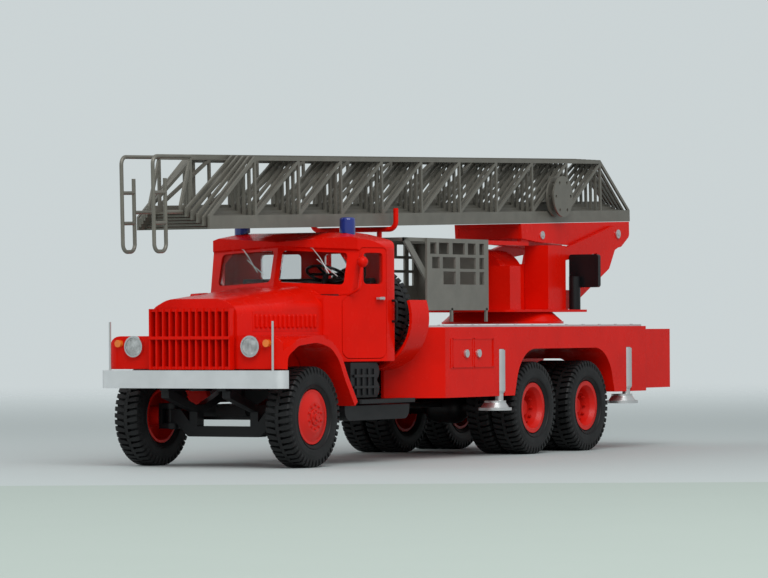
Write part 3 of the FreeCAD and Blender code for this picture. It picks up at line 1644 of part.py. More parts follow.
def make_section(index):
    half, low, front, rear = section_sizes(index)
    name = f"ladder_section_{index + 1}"
    height = size.truss_height - index * (size.nest_rise - size.gap / 3)
    chord = size.chord_height if index == 0 else size.inner_chord
    last = index == SECTION_COUNT - 1
    setback = size.fly_setback if last else size.apex_setback
    apex, tail = front + setback, rear - size.tail_setback
    side = truss(f"{name}_truss", low, front, rear, apex, tail, height, chord, half)
    rungs = rung_row(f"{name}_rungs", low, front, rear, half - size.truss_thick / 2)
    parts = [side, mirrored(f"{name}_other", side), rungs]
    if index == 0:
        parts.append(make_reel(half))
    if last:
        parts += make_tip_loops(half, low, front, height)
    section = fuse(name, parts)
    section.Placement = ladder_placement()
    keep(name, section)


SECTION_COUNT = 6


def make_reel(half):
    """The cable reel on the left truss: two slotted discs and a core."""
    u, w = -size.reel_u, size.ladder_rise + size.reel_w
    start = half - size.truss_thick / 2
    core = rod("reel_core", (start, u, w), "X", size.reel_width + size.truss_thick / 2, "Sizes.reel_core")
    discs = []
    for label, offset in (("inner", size.reel_disc), ("outer", size.reel_width - size.reel_disc)):
        place = half + offset
        slots = []
        for index in range(REEL_SLOTS):
            angle = 2 * math.pi * index / REEL_SLOTS
            reach = size.reel_radius * REEL_SLOT_SHARE
            centre = (u + reach * math.cos(angle), w + reach * math.sin(angle))
            slots.append({"centre": centre, "radius": size.reel_disc})
        rim = {"centre": (u, w), "radius": size.reel_radius}
        discs.append(pad(f"reel_{label}", "YZ", place, "Sizes.reel_disc", rim, *slots))
    return fuse("reel", [core, *discs])


REEL_SLOTS = 6
REEL_SLOT_SHARE = 0.76


def make_tip_loops(half, low, front, height):
    """Bent tube loops at the tip of the innermost section, one each side."""
    radius, bend = size.loop_radius, size.loop_radius * 4
    x = half - size.truss_thick / 2
    top = low + height - radius
    foot = low - size.loop_low
    tip = front - size.loop_front
    back = tip + size.loop_width
    apex = front + size.fly_setback
    path = [
        (x, apex, top),
        (x, tip, top),
        (x, tip, foot),
        (x, back, foot),
        (x, back, low + height * LOOP_BACK_SHARE),
    ]
    loop = shape_of("tip_loop", pipe_shape(path, radius, bend))
    bars = []
    for share in LOOP_BAR_SHARES:
        place = (x, tip, foot + share * (top - foot))
        bars.append(rod(f"loop_bar_{share}", place, "Y", "Sizes.loop_width", radius * ROUND_SHARE))
    chord_bar = rod("loop_chord", (x, back, low + radius), "Y", front - back + radius * 2, radius * ROUND_SHARE)
    side = fuse("left_loop", [loop, *bars, chord_bar])
    return [side, mirrored("right_loop", side)]


LOOP_BACK_SHARE = 0.6
LOOP_BAR_SHARES = (0.3, 0.62)


def make_carrier():
    """The red channel under the ladder: side plates pierced for the pivot, joined by a web."""
    top = size.ladder_rise - size.gap / 3
    low = top - size.carrier_depth
    front = size.carrier_front - size.pivot_station
    tail, bore = size.carrier_tail, size.pivot_radius + size.fit
    outline = [
        (front, top),
        (front, low + size.carrier_depth / 4),
        (front + size.carrier_depth * 4, low),
        (-size.pivot_boss * 2.5, low),
        (-size.pivot_boss, -size.pivot_boss * 1.4, size.pivot_boss / 2),
        (size.pivot_boss, -size.pivot_boss * 1.4),
        (tail, low),
        (tail, top),
    ]
    hole = {"centre": (0, 0), "radius": bore}
    start = size.carrier_outer - size.carrier_thick
    side = pad("carrier_side", "YZ", start, "Sizes.carrier_thick", outline, hole)
    web_low = top - size.carrier_thick
    webs = [
        box("carrier_web", (-start, front, web_low), (start, -size.pivot_boss * 2, top)),
        box("carrier_tail", (-start, size.pivot_boss * 2, web_low), (start, tail, top)),
    ]
    carrier = fuse("ladder_carrier", [side, mirrored("carrier_other", side), *webs])
    carrier.Placement = ladder_placement()
    keep("ladder_carrier", carrier)


# Lift cage


def make_cage():
    """An open cage of plate and bars, hung under the ladder in front of the tower."""
    front, rear = station(size.cage_front), station(size.cage_rear)
    low, high = size.cage_low, size.cage_low + size.cage_height
    plate, bar, half = size.cage_plate, size.cage_bar, size.cage_half
    windows = []
    length, height = rear - front, size.cage_height
    for low_share, high_share, columns in CAGE_WINDOW_SHARES:
        for left, right in columns:
            windows.append([
                (front + left * length, low + low_share * height),
                (front + right * length, low + low_share * height),
                (front + right * length, low + high_share * height),
                (front + left * length, low + high_share * height),
            ])
    side = pad("cage_side", "YZ", half - plate, "Sizes.cage_plate", [
        (front, low),
        (rear, low),
        (rear, high),
        (front, high),
    ], *windows)
    strut = pad("cage_strut", "YZ", half - plate * 2, "Sizes.cage_plate", [
        (front - size.cage_strut, high - bar),
        (front - size.cage_strut, high),
        (front - size.cage_strut + bar * 2, high),
        (front + size.cage_strut, low + bar),
        (front + size.cage_strut, low),
        (front + size.cage_strut - bar * 2, low),
    ])
    rail = box("cage_rail", (half - plate * 2, front - size.cage_strut, high - bar),
               (half - plate, front + bar, high))
    legs = []
    for index, share in enumerate(CAGE_LEG_SHARES):
        y = front + share * length
        legs.append(box(f"cage_leg_{index}", (half - plate, y - bar / 2, low - size.cage_leg),
                        (half, y + bar / 2, low + plate)))
    left = fuse("cage_left", [side, strut, rail, *legs])
    back = box("cage_back", (-half, rear - plate, low), (half, rear, high))
    floor = box("cage_floor", (plate - half, front, low), (half - plate, rear - plate / 2, low + plate))
    header_y = front - size.cage_strut
    header = box("cage_header", (plate - half, header_y, high - bar), (half - plate, header_y + bar, high))
    hanger = box("cage_hanger", (-half, rear - size.cage_kick, high - bar), (half, rear, high))
    keep("lift_cage", fuse("lift_cage", [left, mirrored("cage_right", left), back, floor, header, hanger]))


CAGE_WINDOW_SHARES = [
    (0.08, 0.42, [(0.06, 0.24)]),
    (0.42, 0.6, [(0.28, 0.4), (0.5, 0.78), (0.84, 0.92)]),
    (0.64, 0.78, [(0.1, 0.2), (0.24, 0.46), (0.52, 0.78), (0.84, 0.92)]),
    (0.82, 0.95, [(0.06, 0.16), (0.2, 0.34), (0.4, 0.58), (0.64, 0.78), (0.84, 0.92)]),
]
CAGE_LEG_SHARES = (0.4, 0.97)


def main():
    make_wheels()
    make_frame()
    make_axles()
    make_knuckle("front_left", 1)
    make_knuckle("front_right", -1)
    make_tie_rod()
    make_springs()
    make_drive_line()
    make_side_equipment()
    make_bumper()
    make_cab()
    make_doors()
    make_panes()
    make_cab_interior()
    make_bonnet()
    make_grille()
    make_wings()
    make_lamps()
    make_cab_fittings()
    make_ladder_rest()
    make_spare_wheel()
    make_rear_body()
    make_jacks()
    make_turntable()
    make_carrier()
    for index in range(SECTION_COUNT):
        make_section(index)
    make_cage()
    doc.recompute()
    write_parts()


def write_parts():
    """Check every object, then write each node's shape."""
    for thing in doc.Objects:
        if "Invalid" in thing.State or "Error" in thing.State:
            raise RuntimeError(f"{thing.Name} failed: {thing.State}")
    for node, thing in NODES.items():
        shape = thing.Shape
        if shape.isNull() or not shape.isValid() or not shape.Solids:
            raise RuntimeError(f"{node} has no valid solid")
    os.makedirs("parts", exist_ok=True)
    for node, thing in NODES.items():
        thing.Shape.exportStep(os.path.join("parts", node + ".step"))
        print(node, len(thing.Shape.Solids), round(thing.Shape.Volume, 2))


main()
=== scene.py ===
import json
import math

import bmesh
import bpy
from mathutils import Matrix, Vector
from mathutils.geometry import tessellate_polygon


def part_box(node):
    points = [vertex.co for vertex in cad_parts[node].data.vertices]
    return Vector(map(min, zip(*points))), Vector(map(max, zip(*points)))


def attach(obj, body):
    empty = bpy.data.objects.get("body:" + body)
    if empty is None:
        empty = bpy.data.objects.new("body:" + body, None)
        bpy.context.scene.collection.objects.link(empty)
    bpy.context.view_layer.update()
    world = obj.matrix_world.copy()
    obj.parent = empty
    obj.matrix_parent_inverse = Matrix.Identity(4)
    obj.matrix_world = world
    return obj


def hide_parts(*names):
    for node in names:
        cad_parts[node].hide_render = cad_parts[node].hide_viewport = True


# 1:43 scale model of a bonneted fire engine with a turntable ladder.
# Metres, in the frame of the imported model: +X is its left, +Y its rear, +Z up.

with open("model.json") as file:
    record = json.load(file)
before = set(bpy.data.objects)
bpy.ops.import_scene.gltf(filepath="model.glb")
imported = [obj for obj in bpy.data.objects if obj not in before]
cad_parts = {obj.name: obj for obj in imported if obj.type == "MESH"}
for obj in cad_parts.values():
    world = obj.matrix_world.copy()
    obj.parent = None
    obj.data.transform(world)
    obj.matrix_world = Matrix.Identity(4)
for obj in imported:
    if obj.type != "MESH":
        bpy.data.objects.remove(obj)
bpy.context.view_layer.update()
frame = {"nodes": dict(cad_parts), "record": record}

MM = 0.001


def corners(node):
    low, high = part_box(node)
    return Vector(low), Vector(high)


def middle(node):
    low, high = corners(node)
    return (low + high) / 2


# Materials

NOISE_DETAIL = 4.0
ROUGHNESS_SPREAD = 0.08
GLOSSIEST = 0.02
GRAIN_DEPTH = 0.02 * MM
COAT_ROUGHNESS = 0.08


def socket(node, name, value):
    node.inputs[name].default_value = value


def new_material(name):
    material = bpy.data.materials.new(name)
    material.use_nodes = True
    nodes, links = material.node_tree.nodes, material.node_tree.links
    shader = nodes["Principled BSDF"]
    place = nodes.new("ShaderNodeTexCoord")
    return material, nodes, links, shader, place.outputs["Object"]


def noise(nodes, links, place, scale):
    texture = nodes.new("ShaderNodeTexNoise")
    socket(texture, "Scale", scale)
    socket(texture, "Detail", NOISE_DETAIL)
    links.new(place, texture.inputs["Vector"])
    return texture.outputs["Fac"]


def ramp(nodes, links, value, low, high, low_colour, high_colour):
    blend = nodes.new("ShaderNodeValToRGB")
    blend.color_ramp.elements[0].position = low
    blend.color_ramp.elements[1].position = high
    blend.color_ramp.elements[0].color = (*low_colour, 1)
    blend.color_ramp.elements[1].color = (*high_colour, 1)
    links.new(value, blend.inputs["Fac"])
    return blend.outputs["Color"]


def bump(nodes, links, height, strength, distance, shader, edge=0.0):
    """A bump from a height, over edges rounded by the given radius."""
    raise_node = nodes.new("ShaderNodeBump")
    socket(raise_node, "Strength", strength)
    socket(raise_node, "Distance", distance)
    links.new(height, raise_node.inputs["Height"])
    if edge:
        round_node = nodes.new("ShaderNodeBevel")
        round_node.samples = 4
        socket(round_node, "Radius", edge)
        links.new(round_node.outputs["Normal"], raise_node.inputs["Normal"])
    links.new(raise_node.outputs["Normal"], shader.inputs["Normal"])


def surface(name, colour, variation, roughness, grain, strength, depth=GRAIN_DEPTH, metallic=0.0,
            coat=0.0, edge=0.0, specular=0.5):
    """Colour that drifts a little, roughness that varies, and a fine grain in the relief."""
    material, nodes, links, shader, place = new_material(name)
    drift = noise(nodes, links, place, grain / 12)
    darker = [max(c * (1 - variation), 0) for c in colour]
    lighter = [min(c * (1 + variation), 1) for c in colour]
    links.new(ramp(nodes, links, drift, 0.3, 0.7, darker, lighter), shader.inputs["Base Color"])
    spread = nodes.new("ShaderNodeMapRange")
    socket(spread, "To Min", max(roughness - ROUGHNESS_SPREAD, GLOSSIEST))
    socket(spread, "To Max", roughness + ROUGHNESS_SPREAD)
    links.new(noise(nodes, links, place, grain / 5), spread.inputs["Value"])
    links.new(spread.outputs["Result"], shader.inputs["Roughness"])
    socket(shader, "Metallic", metallic)
    socket(shader, "Coat Weight", coat)
    socket(shader, "Coat Roughness", COAT_ROUGHNESS)
    socket(shader, "Specular IOR Level", specular)
    bump(nodes, links, noise(nodes, links, place, grain), strength, depth, shader, edge)
    return material


def clear_glass(name, colour):
    material, nodes, links, shader, place = new_material(name)
    socket(shader, "Base Color", (*colour, 1))
    socket(shader, "Transmission Weight", 1.0)
    socket(shader, "IOR", 1.15)
    socket(shader, "Roughness", 0.03)
    bump(nodes, links, noise(nodes, links, place, 300.0), 0.02, 0.01 * MM, shader)
    return material


SOFT_EDGE = 0.12 * MM
RED = (0.7, 0.0065, 0.0015)
MATERIALS = {
    "red_paint": surface("red_paint", RED, 0.06, 0.26, 1500.0, 0.05, 0.01 * MM, coat=0.06,
                         edge=SOFT_EDGE, specular=0.08),
    "red_rim": surface("red_rim", (0.6, 0.009, 0.004), 0.06, 0.4, 1800.0, 0.08, coat=0.05,
                       edge=SOFT_EDGE, specular=0.25),
    "tyre_rubber": surface("tyre_rubber", (0.011, 0.011, 0.0115), 0.3, 0.5, 2600.0, 0.25, 0.03 * MM,
                           specular=0.22),
    "black_chassis": surface("black_chassis", (0.007, 0.007, 0.008), 0.25, 0.42, 1800.0, 0.15,
                             edge=SOFT_EDGE, specular=0.3),
    "black_trim": surface("black_trim", (0.006, 0.006, 0.007), 0.2, 0.35, 1800.0, 0.12,
                          edge=SOFT_EDGE, specular=0.3),
    "silver_bumper": surface("silver_bumper", (0.66, 0.68, 0.69), 0.05, 0.42, 2400.0, 0.1,
                             metallic=0.45, edge=SOFT_EDGE),
    "clear_glass": clear_glass("clear_glass", (0.93, 0.95, 0.95)),
    "chrome_trim": surface("chrome_trim", (0.78, 0.79, 0.8), 0.03, 0.12, 900.0, 0.03, metallic=1.0),
    "lamp_glass": surface("lamp_glass", (0.55, 0.56, 0.56), 0.35, 0.1, 9000.0, 0.4, 0.1 * MM,
                          metallic=0.6, coat=1.0),
    "orange_lens": surface("orange_lens", (0.85, 0.2, 0.02), 0.1, 0.2, 3000.0, 0.2, coat=0.6),
    "red_lens": surface("red_lens", (0.5, 0.012, 0.01), 0.1, 0.2, 3000.0, 0.2, coat=0.6),
    "blue_beacon": surface("blue_beacon", (0.006, 0.02, 0.2), 0.1, 0.18, 2500.0, 0.1, coat=0.8),
    "silver_metal": surface("silver_metal", (0.6, 0.61, 0.61), 0.05, 0.34, 2400.0, 0.1,
                            metallic=0.75, edge=SOFT_EDGE),
    "grey_deck": surface("grey_deck", (0.5, 0.53, 0.54), 0.05, 0.4, 2200.0, 0.1, metallic=0.3),
    "cage_grey": surface("cage_grey", (0.2, 0.19, 0.165), 0.08, 0.42, 2600.0, 0.12, metallic=0.35),
    "ladder_grey": surface("ladder_grey", (0.17, 0.16, 0.135), 0.1, 0.42, 2600.0, 0.12, metallic=0.35),
}

for node, thing in frame["nodes"].items():
    slots = [row["material_slot"] for row in frame["record"]["subparts"] if row["node"] == node]
    thing.data.materials.clear()
    thing.data.materials.append(MATERIALS[slots[0]])


# Mesh helpers

TUBE_SIDES = 8


def stored(mesh, name):
    data = bpy.data.meshes.new(name)
    mesh.to_mesh(data)
    mesh.free()
    return data


def linked(name, data):
    thing = bpy.data.objects.new(name, data)
    bpy.context.scene.collection.objects.link(thing)
    return thing


def bridge(mesh, here, there):
    """Faces between two closed rings of as many points."""
    for step in range(len(here)):
        follow = (step + 1) % len(here)
        mesh.faces.new((here[step], here[follow], there[follow], there[step]))


def piece(name, mesh, slot, body, replaced=()):
    """A new piece with the slot's material, riding on a body."""
    data = mesh
    if isinstance(mesh, bmesh.types.BMesh):
        bmesh.ops.recalc_face_normals(mesh, faces=mesh.faces)
        data = stored(mesh, name)
    data.materials.append(MATERIALS[slot])
    thing = linked(name, data)
    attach(thing, body)
    if replaced:
        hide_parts(*replaced)


def add_box(mesh, low, high, turn=None):
    """A closed block between two corners, turned about its middle."""
    low, high = Vector(low), Vector(high)
    made = bmesh.ops.create_cube(mesh, size=1.0)["verts"]
    bmesh.ops.scale(mesh, vec=high - low, verts=made)
    if turn is not None:
        bmesh.ops.rotate(mesh, cent=(0, 0, 0), matrix=turn, verts=made)
    bmesh.ops.translate(mesh, vec=(low + high) / 2, verts=made)


def add_rod(mesh, start, end, radius, sides=12, end_radius=None):
    """A closed cylinder or cone between two points."""
    start, end = Vector(start), Vector(end)
    run = end - start
    if end_radius is None:
        end_radius = radius
    made = bmesh.ops.create_cone(mesh, cap_ends=True, segments=sides, radius1=radius,
                                 radius2=end_radius, depth=run.length)["verts"]
    turn = run.to_track_quat("Z", "Y").to_matrix()
    bmesh.ops.rotate(mesh, cent=(0, 0, 0), matrix=turn, verts=made)
    bmesh.ops.translate(mesh, vec=(start + end) / 2, verts=made)


def add_tube(mesh, points, radius):
    """A round bar along straight runs."""
    for start, end in zip(points, points[1:]):
        add_rod(mesh, start, end, radius, TUBE_SIDES)
    for point in points[1:-1]:
        made = bmesh.ops.create_icosphere(mesh, subdivisions=1, radius=radius)["verts"]
        bmesh.ops.translate(mesh, vec=point, verts=made)


def add_lathe(mesh, profile):
    """Turns a closed (along X, radius) profile about the X axis."""
    rings = []
    for index in range(TYRE_SIDES):
        angle = 2 * math.pi * index / TYRE_SIDES
        across = Vector((0, math.cos(angle), math.sin(angle)))
        rings.append([mesh.verts.new(Vector((x, 0, 0)) + across * r) for x, r in profile])
    for here, there in zip(rings, rings[1:] + rings[:1]):
        bridge(mesh, here, there)


# Tyres

TYRE_LUGS = 46
LUG_DEPTH = 0.95 * MM
LUG_FOOT = 2.35 * MM
GROOVE = 1.1 * MM
RIM_RADIUS = 7.3 * MM
TYRE_SIDES = 92
LUG_SHARE = 0.72
LUG_STAGGER = 0.25


def tyre_section(radius, half):
    """The carcass under the lugs, from bead to bead."""
    crown = radius - LUG_DEPTH
    side = [
        (0.78 * half, RIM_RADIUS),
        (0.92 * half, RIM_RADIUS + 0.05 * radius),
        (0.985 * half, RIM_RADIUS + 0.12 * radius),
        (half, RIM_RADIUS + 0.2 * radius),
        (0.985 * half, RIM_RADIUS + 0.27 * radius),
        (0.94 * half, crown - 0.045 * radius),
        (0.86 * half, crown),
    ]
    return [(-x, r) for x, r in side] + [(0, crown + 0.004 * radius)] + side[::-1]


def add_lug(mesh, radius, half, side, angle, spread):
    """One tread bar from the sidewall over the shoulder to the middle rib, slanting as it goes in."""
    outline = [
        (0.975, radius - LUG_FOOT, 0.55),
        (0.985, radius - 1.0 * MM, 0.7),
        (0.93, radius - 0.28 * MM, 0.85),
        (0.8, radius, 0.95),
        (0.42, radius, 0.9),
        (0.1, radius, 0.62),
    ]
    floor = [
        (0.9, radius - LUG_FOOT),
        (0.9, radius - 1.3 * MM),
        (0.84, radius - 1.15 * MM),
        (0.76, radius - GROOVE),
        (0.42, radius - GROOVE),
        (0.1, radius - GROOVE),
    ]
    slant = 0.5 * spread
    loops = []
    for (share, height, width), (inner_share, low) in zip(outline, floor):
        turn = angle + slant * (1 - share)
        loop = []
        for across, r, x in ((-1, low, inner_share), (-1, height, share),
                             (1, height, share), (1, low, inner_share)):
            theta = turn + across * spread * width / 2
            loop.append(mesh.verts.new((side * x * half, r * math.cos(theta), r * math.sin(theta))))
        loops.append(loop)
    for here, there in zip(loops, loops[1:]):
        bridge(mesh, here, there)
    mesh.faces.new(loops[0])
    mesh.faces.new(list(reversed(loops[-1])))


def tyre_mesh():
    """A tyre about the X axis at the origin: carcass, tread bars and a middle rib."""
    low, high = corners("front_left_tyre")
    radius, half = (high.z - low.z) / 2, (high.x - low.x) / 2
    mesh = bmesh.new()
    add_lathe(mesh, tyre_section(radius, half))
    rib = 0.13 * half
    add_lathe(mesh, [(-rib, radius - GROOVE), (-rib, radius - 0.06 * MM),
                     (rib, radius - 0.06 * MM), (rib, radius - GROOVE)])
    for ring_radius in (RIM_RADIUS + 0.9 * MM, radius - 2.75 * MM):
        for side in (-1, 1):
            add_lathe(mesh, [(side * 0.93 * half, ring_radius - 0.16 * MM),
                             (side * half, ring_radius),
                             (side * 0.93 * half, ring_radius + 0.16 * MM)])
    spread = 2 * math.pi / TYRE_LUGS
    for index in range(TYRE_LUGS):
        for side in (-1, 1):
            add_lug(mesh, radius, half, side, spread * (index + LUG_STAGGER * side), spread * LUG_SHARE)
    bmesh.ops.recalc_face_normals(mesh, faces=mesh.faces)
    return stored(mesh, "tyre")


def place_tyres():
    master = tyre_mesh()
    low, high = corners("front_left_tyre")
    width = (high - low).x
    wheels = []
    for side in ("left", "right"):
        wheels.append((f"front_{side}_tyre", f"front_{side}_wheel", [middle(f"front_{side}_tyre")]))
        for number in (1, 2):
            node = f"rear_{number}_{side}_tyres"
            low, high = corners(node)
            centre = (low + high) / 2
            inner = Vector((low.x + width / 2, centre.y, centre.z))
            outer = Vector((high.x - width / 2, centre.y, centre.z))
            wheels.append((node, f"rear_{number}_{side}_wheels", [inner, outer]))
    for node, body, centres in wheels:
        mesh = bmesh.new()
        for centre in centres:
            start = len(mesh.verts)
            mesh.from_mesh(master)
            mesh.verts.ensure_lookup_table()
            bmesh.ops.translate(mesh, vec=centre, verts=mesh.verts[start:])
        piece(node + "_tread", mesh, "tyre_rubber", body, [node])
    mesh = bmesh.new()
    mesh.from_mesh(master)
    bmesh.ops.rotate(mesh, cent=(0, 0, 0), matrix=Matrix.Rotation(math.pi / 2, 3, "Z"), verts=mesh.verts)
    bmesh.ops.translate(mesh, vec=middle("spare_tyre"), verts=mesh.verts)
    piece("spare_tyre_tread", mesh, "tyre_rubber", "chassis", ["spare_tyre"])


place_tyres()


# Wheel nuts

STUD_LENGTH = 1.7
STUD_RADIUS = 0.5


def add_nut_ring(mesh, centre, direction, ring, count, radius, height, start=0.0):
    """Hexagonal nuts with their studs on a circle about the axle; direction is +1 or -1 along X."""
    for index in range(count):
        angle = start + 2 * math.pi * index / count
        foot = Vector(centre) + Vector((0, math.cos(angle), math.sin(angle))) * ring
        add_rod(mesh, foot, foot + Vector((direction * height, 0, 0)), radius, 6)
        add_rod(mesh, foot, foot + Vector((direction * height * STUD_LENGTH, 0, 0)),
                radius * STUD_RADIUS, 8)


def rim_face(node, sign):
    """The middle of a rim's outer side."""
    low, high = corners(node)
    centre = (low + high) / 2
    return Vector((high.x if sign > 0 else low.x, centre.y, centre.z))


def dress_rims():
    for side, sign in (("left", 1), ("right", -1)):
        mesh = bmesh.new()
        hub_face = rim_face(f"front_{side}_rim", sign)
        out = Vector((sign * MM, 0, 0))
        add_rod(mesh, hub_face - out * 0.3, hub_face + out * 0.35, 2.3 * MM, 32, 2.1 * MM)
        add_nut_ring(mesh, hub_face + out * 0.3, sign, 1.65 * MM, 8, 0.26 * MM, 0.2 * MM)
        add_rod(mesh, hub_face, hub_face + out * 0.75, 0.9 * MM, 24, 0.75 * MM)
        add_nut_ring(mesh, hub_face - out * 0.15, sign, 3.1 * MM, 10, 0.36 * MM, 0.35 * MM, 0.3)
        piece(f"front_{side}_hub_nuts", mesh, "red_rim", f"front_{side}_wheel")
        for number in (1, 2):
            mesh = bmesh.new()
            dish = rim_face(f"rear_{number}_{side}_rims", sign) - out * 3.0
            add_nut_ring(mesh, dish, sign, 3.9 * MM, 10, 0.42 * MM, 0.5 * MM)
            piece(f"rear_{number}_{side}_nuts", mesh, "red_rim", f"rear_{number}_{side}_wheels")


dress_rims()


# Bonnet louvres

FRONT_AXLE_Y = middle("front_left_tyre").y


def at(x, along, z):
    """A place given in millimetres, its station from the front axle."""
    return Vector((x * MM, FRONT_AXLE_Y + along * MM, z * MM))


LOUVRE_COUNT = 14
LOUVRE_FIRST = -7.5
LOUVRE_LAST = 17.5
LOUVRE_LOW = 36.2
LOUVRE_HEIGHT = 2.7
LOUVRE_WIDTH = 0.95
LOUVRE_OUT = 0.22
PANEL_MARGINS = (1.6, 1.2)
PANEL_HALF_THICK = 0.13
PANEL_SUNK = 0.05
BONNET_FRONT = -15.4
BONNET_REAR = 24.4
BONNET_FRONT_HALF = 12.9
BONNET_REAR_HALF = 16.8


def bonnet_half(along):
    share = (along - BONNET_FRONT) / (BONNET_REAR - BONNET_FRONT)
    return BONNET_FRONT_HALF + (BONNET_REAR_HALF - BONNET_FRONT_HALF) * share


def bonnet_dress():
    """Louvres on a raised panel of each side of the bonnet."""
    flare = math.atan2(BONNET_REAR_HALF - BONNET_FRONT_HALF, BONNET_REAR - BONNET_FRONT)
    radius = LOUVRE_WIDTH * MM / 2
    mesh = bmesh.new()
    for side in (1, -1):
        turn = Matrix.Rotation(-side * flare, 3, "Z")
        centre_along = (LOUVRE_FIRST + LOUVRE_LAST) / 2
        run = (LOUVRE_LAST - LOUVRE_FIRST) / 2 + PANEL_MARGINS[0]
        rise = LOUVRE_HEIGHT / 2 + PANEL_MARGINS[1]
        high = LOUVRE_LOW + LOUVRE_HEIGHT / 2
        centre = at(side * (bonnet_half(centre_along) - PANEL_SUNK), centre_along, high)
        half = Vector((PANEL_HALF_THICK * MM, run * MM, rise * MM))
        add_box(mesh, centre - half, centre + half, turn)
        for index in range(LOUVRE_COUNT):
            along = LOUVRE_FIRST + (LOUVRE_LAST - LOUVRE_FIRST) * index / (LOUVRE_COUNT - 1)
            x = side * (bonnet_half(along) + LOUVRE_OUT)
            foot = at(x, along, LOUVRE_LOW)
            head = at(x, along, LOUVRE_LOW + LOUVRE_HEIGHT)
            add_rod(mesh, foot, head, radius)
            for end in (foot, head):
                ball = bmesh.ops.create_icosphere(mesh, subdivisions=2, radius=radius)["verts"]
                bmesh.ops.translate(mesh, vec=end, verts=ball)
    piece("bonnet_louvres", mesh, "red_paint", "chassis")


bonnet_dress()


# Wipers, door handles and pins

SCREEN_LINE = ((23.1, 47.0), (25.9, 57.2))
SCREEN_FOOT, SCREEN_HEAD = [at(0, *end) for end in SCREEN_LINE]
SCREEN_ANGLE = math.radians(10.2)
PIVOT_PLACE = (200.5, 63.5)


def on_screen(x, share, out=0.35):
    """A place on the left half's face: x along it, share up it, out from it."""
    line = SCREEN_HEAD - SCREEN_FOOT
    across = Matrix.Rotation(SCREEN_ANGLE, 3, line.normalized()) @ Vector((1, 0, 0))
    ahead = line.normalized().cross(across).normalized()
    if ahead.y > 0:
        ahead = -ahead
    return SCREEN_FOOT + line * share + across * x * MM + ahead * out * MM


def mirrored_x(point):
    return Vector((-point.x, point.y, point.z))


def add_wipers():
    """An arm and a blade on each half of the screen."""
    mesh = bmesh.new()
    left = [on_screen(9.5, 1.03), on_screen(12.4, 0.76, 0.7), on_screen(15.5, 0.36, 0.5)]
    left_blade = [on_screen(11.5, 0.72), on_screen(18.0, 0.3)]
    right = [on_screen(12.4, 1.03), on_screen(9.3, 0.76, 0.7), on_screen(5.8, 0.36, 0.5)]
    right_blade = [on_screen(10.3, 0.72), on_screen(3.6, 0.3)]
    right, right_blade = [[mirrored_x(p) for p in line] for line in (right, right_blade)]
    for line in (left, left_blade, right, right_blade):
        add_tube(mesh, line, 0.12 * MM)
    for pivot in (left[0], right[0]):
        add_rod(mesh, pivot + Vector((0, 0.6 * MM, 0)), pivot - Vector((0, 0.2 * MM, 0)), 0.35 * MM, 16)
    piece("wipers", mesh, "silver_metal", "chassis")


def add_door_handles():
    mesh = bmesh.new()
    for side in (1, -1):
        add_box(mesh, at(side * 24.9, 34.6, 43.2), at(side * 26.0, 37.4, 43.8))
        add_rod(mesh, at(side * 24.6, 37.0, 43.5), at(side * 25.9, 37.0, 43.5), 0.45 * MM, 16)
    piece("door_handles", mesh, "silver_metal", "chassis")


def add_pin_washers():
    """Pin heads on the carrier and on the tower's cheeks."""
    for name, body, place, washer, nut in (
        ("carrier_pins", "ladder", (154.8, 62.4), (10.9, 11.35, 1.2), (11.3, 11.6, 0.5)),
        ("pivot_washers", "turret", PIVOT_PLACE, (12.6, 13.0, 1.35), (12.9, 13.3, 0.55)),
    ):
        mesh = bmesh.new()
        for side in (1, -1):
            for (start, end, radius), sides in ((washer, 24), (nut, 6)):
                add_rod(mesh, at(side * start, *place), at(side * end, *place), radius * MM, sides)
        piece(name, mesh, "silver_metal", body)


add_wipers()
add_door_handles()
add_pin_washers()


# Lamps


def dress_lamps():
    """A reflector's flutes on the face of each headlamp's glass."""
    low, high = corners("headlamp_glasses")
    face, centre_z = low.y, (low.z + high.z) / 2
    radius = (high.z - low.z) / 2
    mesh = bmesh.new()
    for side in (1, -1):
        centre = Vector((side * (high.x - radius), face, centre_z))
        for index in range(-4, 5):
            x = index * radius * 0.2
            rise = math.sqrt(max(radius * radius * 0.86 - x * x, 0))
            add_rod(mesh, centre + Vector((x, 0, -rise)), centre + Vector((x, 0, rise)), 0.1 * MM, 8)
    piece("headlamp_flutes", mesh, "lamp_glass", "chassis")


dress_lamps()


# Chassis dress


def add_box_ribs():
    """Ribs and straps over the black boxes under the cab."""
    low, high = corners("under_cab_boxes")
    mesh = bmesh.new()
    for side in (1, -1):
        edge = side * high.x
        for index in range(4):
            along = low.y + (high.y - low.y) * (0.2 + 0.2 * index)
            add_box(mesh, Vector((edge - 0.35 * MM, along - 0.4 * MM, low.z + 0.7 * MM)),
                    Vector((edge + 0.35 * MM, along + 0.4 * MM, high.z - 1.6 * MM)))
        for share in (0.3, 0.62):
            z = low.z + (high.z - low.z) * share
            add_box(mesh, Vector((edge - 0.3 * MM, low.y + 1.2 * MM, z - 0.35 * MM)),
                    Vector((edge + 0.5 * MM, high.y - 1.2 * MM, z + 0.35 * MM)))
    piece("box_ribs", mesh, "black_trim", "chassis")


add_box_ribs()


# Deck and seat

SEAT_LOW = 47.2


def add_deck_screws():
    low, high = corners("deck_plate")
    mesh = bmesh.new()
    for side in (1, -1):
        for index in range(12):
            along = low.y + 12 * MM + (high.y - low.y - 16 * MM) * index / 11
            foot = Vector((side * (high.x - 1.3 * MM), along, high.z - 0.1 * MM))
            add_rod(mesh, foot, foot + Vector((0, 0, 0.25 * MM)), 0.45 * MM, 12)
    piece("deck_screws", mesh, "silver_metal", "chassis")


